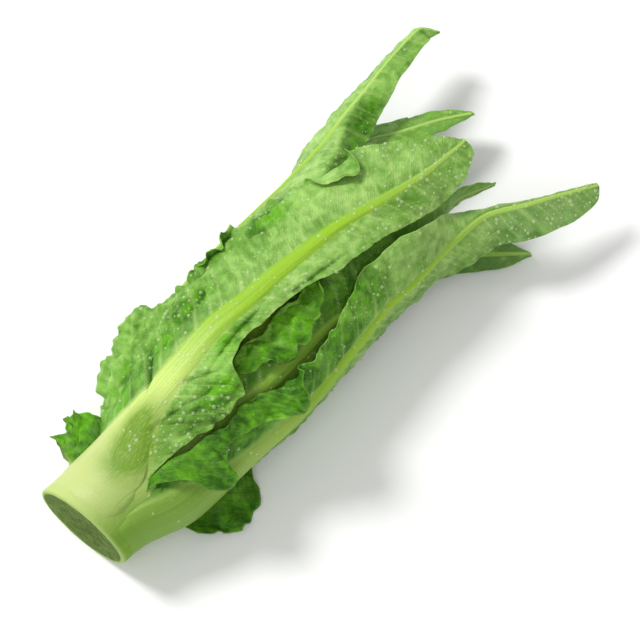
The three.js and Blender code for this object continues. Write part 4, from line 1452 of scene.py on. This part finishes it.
@dataclass(frozen=True)
class Stem:
    """The cut stem: its face, a short flank that the leaves grow from, and a core inside them."""

    node: str = "stem"
    outline: Rows = ((0, 26.4), (0.5, 27.0), (1.4, 27.3), (4, 27.3), (9, 26.9), (14, 26.6), (22, 28),
                     (30, 29.6), (38, 29.3), (44, 25), (50, 14), (56, 6), (62, 0.4))
    sides: int = 144
    face_rings: int = 26
    flank_rings: int = 90
    saw_mark: float = 0.25
    hollow: float = 0.5
    point: float = 0.4
    edge_wear: float = 1.2
    flank_ridge: float = 0.25
    face_bunching: float = 0.8
    flank_bunching: float = 1.4
    seed: int = 21

    def build(self, head: HeadShape, shift: Vector) -> bpy.types.Object:
        """Builds the stem as one closed mesh.

        Args:
            head: The head it lies in.
            shift: From the head's own millimetres to the frame's.

        Returns:
            The object.
        """
        grain = Grain(self.seed)
        turn = np.linspace(0, 2 * np.pi, self.sides, endpoint=False)
        face_share = np.linspace(0.02, 1, self.face_rings) ** self.face_bunching
        length = self.outline[-1][0]
        flank_x = np.linspace(0, 1, self.flank_rings)[1:] ** self.flank_bunching * length
        radius = np.concatenate((face_share * self.outline[0][1], along(self.outline, flank_x)))
        x = np.concatenate((np.zeros(self.face_rings), flank_x))
        share = np.concatenate((face_share, np.full(len(flank_x), 1.0)))
        cut = np.concatenate((np.ones(self.face_rings), np.exp(-(flank_x / self.edge_wear) ** 2)))
        y = radius[:, None] * np.sin(turn)
        z = radius[:, None] * np.cos(turn)
        rough = self.saw_mark * grain.layered(y / 7 + 9, z / 3 + 4, 3)
        rough = rough - self.hollow * (1 - share[:, None] ** 4)
        out = self.flank_ridge * grain.layered(turn[None, :] * 8 + 3, x[:, None] / 40 + 0 * turn, 2)
        reach = 1 + out * smooth(x, 2, 12)[:, None] / np.maximum(radius[:, None], 1)
        depth = x[:, None] - rough * cut[:, None] * (share[:, None] < 0.999)
        grid = head.lay_down(np.stack((depth + 0 * y, -y * reach, z * reach), -1))
        grid[..., 2] = np.maximum(grid[..., 2], 0)
        ends = head.lay_down(np.array([[-rough[0].mean(), 0, 0], [length + self.point, 0, 0]]))
        places = np.concatenate((grid.reshape(-1, 3), ends))
        rows, columns = grid.shape[:2]
        number = np.arange(rows * columns).reshape(rows, columns)
        after = np.roll(number, -1, 1)
        walls = np.stack((number[:-1], after[:-1], after[1:], number[1:]), -1).reshape(-1, 4)
        piece = solid("cut_stem", (places + np.array(shift)) * MM, walls)
        self.close(piece, number[0], number[-1], rows * columns)
        blank = np.zeros(2)
        pale = head.pale(np.stack((x[:, None] + 0 * y, -y, z), -1))
        put_vector(
            piece, "surface",
            np.concatenate((pale.ravel(), blank)),
            np.concatenate((np.repeat(share, columns), blank)),
            np.concatenate((np.repeat(cut, columns), (1.0, 0.0))),
        )
        return piece

    @staticmethod
    def close(piece: bpy.types.Object, first: np.ndarray, last: np.ndarray, centre: int) -> None:
        """Closes both ends with fans of triangles, and turns every face outwards."""
        shape = bmesh.new()
        shape.from_mesh(piece.data)
        shape.verts.ensure_lookup_table()
        for ring, tip in ((first, centre), (last, centre + 1)):
            for a, b in zip(ring, np.roll(ring, -1)):
                shape.faces.new((shape.verts[int(a)], shape.verts[int(b)], shape.verts[tip])).smooth = True
        bmesh.ops.recalc_face_normals(shape, faces=shape.faces)
        shape.to_mesh(piece.data)
        shape.free()


@dataclass(frozen=True)
class Water:
    """Beads of water scattered over the wet leaves."""

    per_square_metre: float = 150000.0
    spacing: float = 0.0019
    smallest: float = 0.00032
    largest: float = 0.0012
    flatness: float = 0.55
    few_large: float = 2.6
    seed: int = 8

    def scatter(self, carrier: bpy.types.Object, material: bpy.types.Material) -> bpy.types.Object:
        """Sets the beads on a surface by its stored wetness.

        Args:
            carrier: A mesh of the wet faces, which is used up.
            material: The water's finish.

        Returns:
            One mesh of all the beads.
        """
        tree = self.tree(material)
        modifier = carrier.modifiers.new("beads", "NODES")
        modifier.node_group = tree
        wanted = {"Density": self.per_square_metre, "Spacing": self.spacing, "Smallest": self.smallest,
                  "Largest": self.largest, "Flatness": self.flatness, "Seed": self.seed}
        for item in tree.interface.items_tree:
            if item.item_type == "SOCKET" and item.in_out == "INPUT" and item.name in wanted:
                modifier[item.identifier] = wanted[item.name]
        bpy.context.view_layer.update()
        settled = carrier.evaluated_get(bpy.context.evaluated_depsgraph_get())
        mesh = bpy.data.meshes.new_from_object(settled)
        carrier.modifiers.remove(modifier)
        bpy.data.objects.remove(carrier)
        mesh.name = "water_beads"
        beads = bpy.data.objects.new("water_beads", mesh)
        bpy.context.scene.collection.objects.link(beads)
        return beads

    def tree(self, material: bpy.types.Material) -> bpy.types.GeometryNodeTree:
        """Builds the nodes that scatter, size and flatten the beads."""
        tree = bpy.data.node_groups.new("beads of water", "GeometryNodeTree")
        face = tree.interface
        face.new_socket("Geometry", in_out="INPUT", socket_type="NodeSocketGeometry")
        for name in ("Density", "Spacing", "Smallest", "Largest", "Flatness"):
            face.new_socket(name, in_out="INPUT", socket_type="NodeSocketFloat")
        face.new_socket("Seed", in_out="INPUT", socket_type="NodeSocketInt")
        face.new_socket("Geometry", in_out="OUTPUT", socket_type="NodeSocketGeometry")
        nodes, links = tree.nodes, tree.links

        def add(kind: str, option: str = "", **inputs: object) -> bpy.types.Node:
            node = nodes.new(kind)
            if option:
                setattr(node, "distribute_method" if kind.endswith("OnFaces") else "operation", option)
            for key, value in inputs.items():
                place = int(key[1:]) if key[1:].isdigit() else key.replace("_", " ")
                if isinstance(value, Socket):
                    links.new(value, node.inputs[place])
                else:
                    node.inputs[place].default_value = value
            return node

        given = nodes.new("NodeGroupInput").outputs
        wet = add("GeometryNodeInputNamedAttribute", Name="wet")
        points = add("GeometryNodeDistributePointsOnFaces", "POISSON", Mesh=given["Geometry"],
                     Distance_Min=given["Spacing"], Density_Max=given["Density"],
                     Density_Factor=wet.outputs["Attribute"], Seed=given["Seed"]).outputs
        bead = add("GeometryNodeMeshIcoSphere", Radius=1.0, Subdivisions=2)
        chance = add("FunctionNodeRandomValue", Seed=given["Seed"])
        power = add("ShaderNodeMath", "POWER", n0=chance.outputs["Value"], n1=self.few_large)
        wide = add("ShaderNodeMapRange", Value=power.outputs[0], To_Min=given["Smallest"],
                   To_Max=given["Largest"]).outputs["Result"]
        tall = add("ShaderNodeMath", "MULTIPLY", n0=wide, n1=given["Flatness"])
        scale = add("ShaderNodeCombineXYZ", X=wide, Y=wide, Z=tall.outputs[0])
        placed = add("GeometryNodeInstanceOnPoints", Points=points["Points"], Instance=bead.outputs["Mesh"],
                     Rotation=points["Rotation"], Scale=scale.outputs[0])
        real = add("GeometryNodeRealizeInstances", Geometry=placed.outputs["Instances"])
        rounded = add("GeometryNodeSetShadeSmooth", Geometry=real.outputs["Geometry"])
        dressed = add("GeometryNodeSetMaterial", Geometry=rounded.outputs["Geometry"], Material=material)
        out = nodes.new("NodeGroupOutput")
        links.new(dressed.outputs["Geometry"], out.inputs["Geometry"])
        return tree


class Lettuce:
    """The whole head: the cut stem, its leaves and the water on them."""

    FACE_DEPTH = 1e-5
    FACES_UP = (0.15, 0.7)
    DAMP_SEED, DAMP_LENGTH, DAMP_WIDTH = 50, 30, 22
    LEAST_DAMP = 0.12
    DRY_TO = (20, 60)

    def __init__(self) -> None:
        """Finds the head's place in the frame from its cut face."""
        self.head = HeadShape()
        corners = np.array([v.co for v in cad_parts["stem"].data.vertices])
        upright = corners[:, 0] - self.head.cut_slant * corners[:, 2]
        face = corners[upright < upright.min() + self.FACE_DEPTH]
        middle = (face[:, 1].min() + face[:, 1].max()) / 2
        start = upright.min() / MM + self.head.cut_slant * self.head.axis_height[0][1]
        self.shift = Vector((start, middle / MM, 0.0))
        self.materials = {ring: finish.material() for ring, (finish, _) in FINISHES.items()}
        self.wet_places: List[np.ndarray] = []
        self.wet_faces: List[np.ndarray] = []
        self.wetness: List[np.ndarray] = []

    def build(self) -> None:
        """Builds every piece, in order from the outside in."""
        self.add_stem()
        for leaf in (front_leaf(), right_leaf(), left_leaf(), under_leaf(), *second_ring(), *young_leaves()):
            self.add_leaf(leaf)
        self.add_water()

    def add_stem(self) -> None:
        """Adds the cut stem."""
        stem = Stem()
        piece = stem.build(self.head, self.shift)
        piece.data.materials.append(StemFinish().material())
        self.place(piece, "stem", stem.node)

    def add_leaf(self, leaf: Leaf) -> None:
        """Grows a leaf, dresses it and remembers where it is wet."""
        grower = LeafGrower(leaf, self.head, self.shift)
        piece, grids = grower.mesh(f"{leaf.node}_grown")
        piece.data.materials.append(self.materials[leaf.ring])
        if leaf.wet > 0:
            self.remember_wet(leaf, grids)
        self.place(piece, FINISHES[leaf.ring][1], leaf.node)

    def remember_wet(self, leaf: Leaf, grids: Dict[str, np.ndarray]) -> None:
        """Keeps the outer face of a leaf as a place for beads of water, wettest where it faces up."""
        outer = grids["outer"]
        rows, columns = outer.shape[:2]
        normal = LeafGrower.normals(outer, False)
        up = smooth(normal[..., 2], *self.FACES_UP)
        damp = Grain(leaf.seed + self.DAMP_SEED)
        damp = damp.layered(grids["x"] / self.DAMP_LENGTH, grids["across"] / self.DAMP_WIDTH, 2)
        wet = leaf.wet * up * (self.LEAST_DAMP + smooth(damp, -0.4, 0.5)) * smooth(grids["x"], *self.DRY_TO)
        first = sum(len(p) for p in self.wet_places)
        number = np.arange(rows * columns).reshape(rows, columns) + first
        faces = np.stack((number[:-1, :-1], number[:-1, 1:], number[1:, 1:], number[1:, :-1]), -1)
        self.wet_places.append((outer.reshape(-1, 3) + np.array(self.shift)) * MM)
        self.wet_faces.append(faces.reshape(-1, 4))
        self.wetness.append(wet.ravel())

    def add_water(self) -> None:
        """Adds the beads of water on the wet faces."""
        carrier = solid("wet_faces", np.concatenate(self.wet_places), np.concatenate(self.wet_faces))
        wet = carrier.data.attributes.new("wet", "FLOAT", "POINT")
        wet.data.foreach_set("value", np.concatenate(self.wetness).astype(np.float32))
        beads = Water().scatter(carrier, WaterFinish().material())
        self.place(beads, "water")

    @staticmethod
    def place(piece: bpy.types.Object, slot: str, *nodes: str) -> None:
        """Rides a piece on the head's body, hides the parts that it stands for and logs its triangles."""
        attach(piece, "root")
        if nodes:
            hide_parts(*nodes)
        triangles = sum(len(p.vertices) - 2 for p in piece.data.polygons)
        LOG.info("%s: %d triangles", piece.name, triangles)


@dataclass(frozen=True)
class Lamp:
    """A soft round lamp: its place in the sky in degrees, its width in metres and its power in watts."""

    name: str
    azimuth: float
    elevation: float
    size: float
    power: float


@dataclass(frozen=True)
class Studio:
    """A pale floor, soft light and the camera, in metres and degrees."""

    target: Tuple[float, float, float] = (-0.005008, 0.000331, 0.033)
    azimuth: float = -52.0
    elevation: float = 70.0
    distance: float = 0.95
    lens: float = 102.8
    clip: Tuple[float, float] = (0.01, 20.0)
    floor_size: float = 6.0
    floor_depth: float = 0.0003
    floor_colour: Colour = (0.93, 0.93, 0.92)
    daylight: float = 0.55
    lamp_distance: float = 1.6
    lamps: Tuple[Lamp, ...] = (Lamp("key", -172.0, 50.0, 0.45, 19.0), Lamp("fill", -60.0, 60.0, 1.2, 5.0))

    def direction(self, azimuth: float, elevation: float) -> Vector:
        """A unit vector towards a place in the sky."""
        a, e = math.radians(azimuth), math.radians(elevation)
        return Vector((math.sin(a) * math.cos(e), -math.cos(a) * math.cos(e), math.sin(e)))

    def camera(self) -> None:
        """Makes the camera at the photograph's viewing angle."""
        data = bpy.data.cameras.new("camera")
        data.lens = self.lens
        data.clip_start, data.clip_end = self.clip
        camera = bpy.data.objects.new("camera", data)
        back = self.direction(self.azimuth, self.elevation)
        camera.location = Vector(self.target) + back * self.distance
        camera.rotation_mode = "QUATERNION"
        camera.rotation_quaternion = (-back).to_track_quat("-Z", "Y")
        bpy.context.scene.collection.objects.link(camera)
        bpy.context.scene.camera = camera

    def floor(self) -> None:
        """Makes the plain floor."""
        mesh = bpy.data.meshes.new("floor")
        half, z = self.floor_size / 2, -self.floor_depth
        corners = [(-half, -half, z), (half, -half, z), (half, half, z), (-half, half, z)]
        mesh.from_pydata(corners, [], [(0, 1, 2, 3)])
        floor = bpy.data.objects.new("floor", mesh)
        material = bpy.data.materials.new("floor")
        material.use_nodes = True
        shader = material.node_tree.nodes["Principled BSDF"]
        shader.inputs["Base Color"].default_value = (*self.floor_colour, 1.0)
        shader.inputs["Roughness"].default_value = 0.9
        floor.data.materials.append(material)
        bpy.context.scene.collection.objects.link(floor)

    def hang(self, lamp: Lamp) -> None:
        """Hangs one soft lamp, facing the head."""
        data = bpy.data.lights.new(lamp.name, "AREA")
        data.shape = "DISK"
        data.size = lamp.size
        data.energy = lamp.power
        item = bpy.data.objects.new(lamp.name, data)
        way = self.direction(lamp.azimuth, lamp.elevation)
        item.location = Vector(self.target) + way * self.lamp_distance
        item.rotation_mode = "QUATERNION"
        item.rotation_quaternion = (-way).to_track_quat("-Z", "Y")
        bpy.context.scene.collection.objects.link(item)

    def light(self) -> None:
        """Lights the studio from above and to the left, with a soft fill all round."""
        world = bpy.data.worlds.new("studio")
        world.use_nodes = True
        background = world.node_tree.nodes["Background"]
        background.inputs["Color"].default_value = (1.0, 1.0, 1.0, 1.0)
        background.inputs["Strength"].default_value = self.daylight
        bpy.context.scene.world = world
        bpy.context.scene.view_settings.view_transform = "Standard"
        for lamp in self.lamps:
            self.hang(lamp)

    def set_up(self) -> None:
        """Makes everything that isn't the head."""
        self.camera()
        self.floor()
        self.light()


def main() -> None:
    """Builds the head, then the studio."""
    logging.basicConfig(level=logging.INFO, format="%(name)s %(message)s")
    Lettuce().build()
    Studio().set_up()


if __name__ == "__main__":
    main()
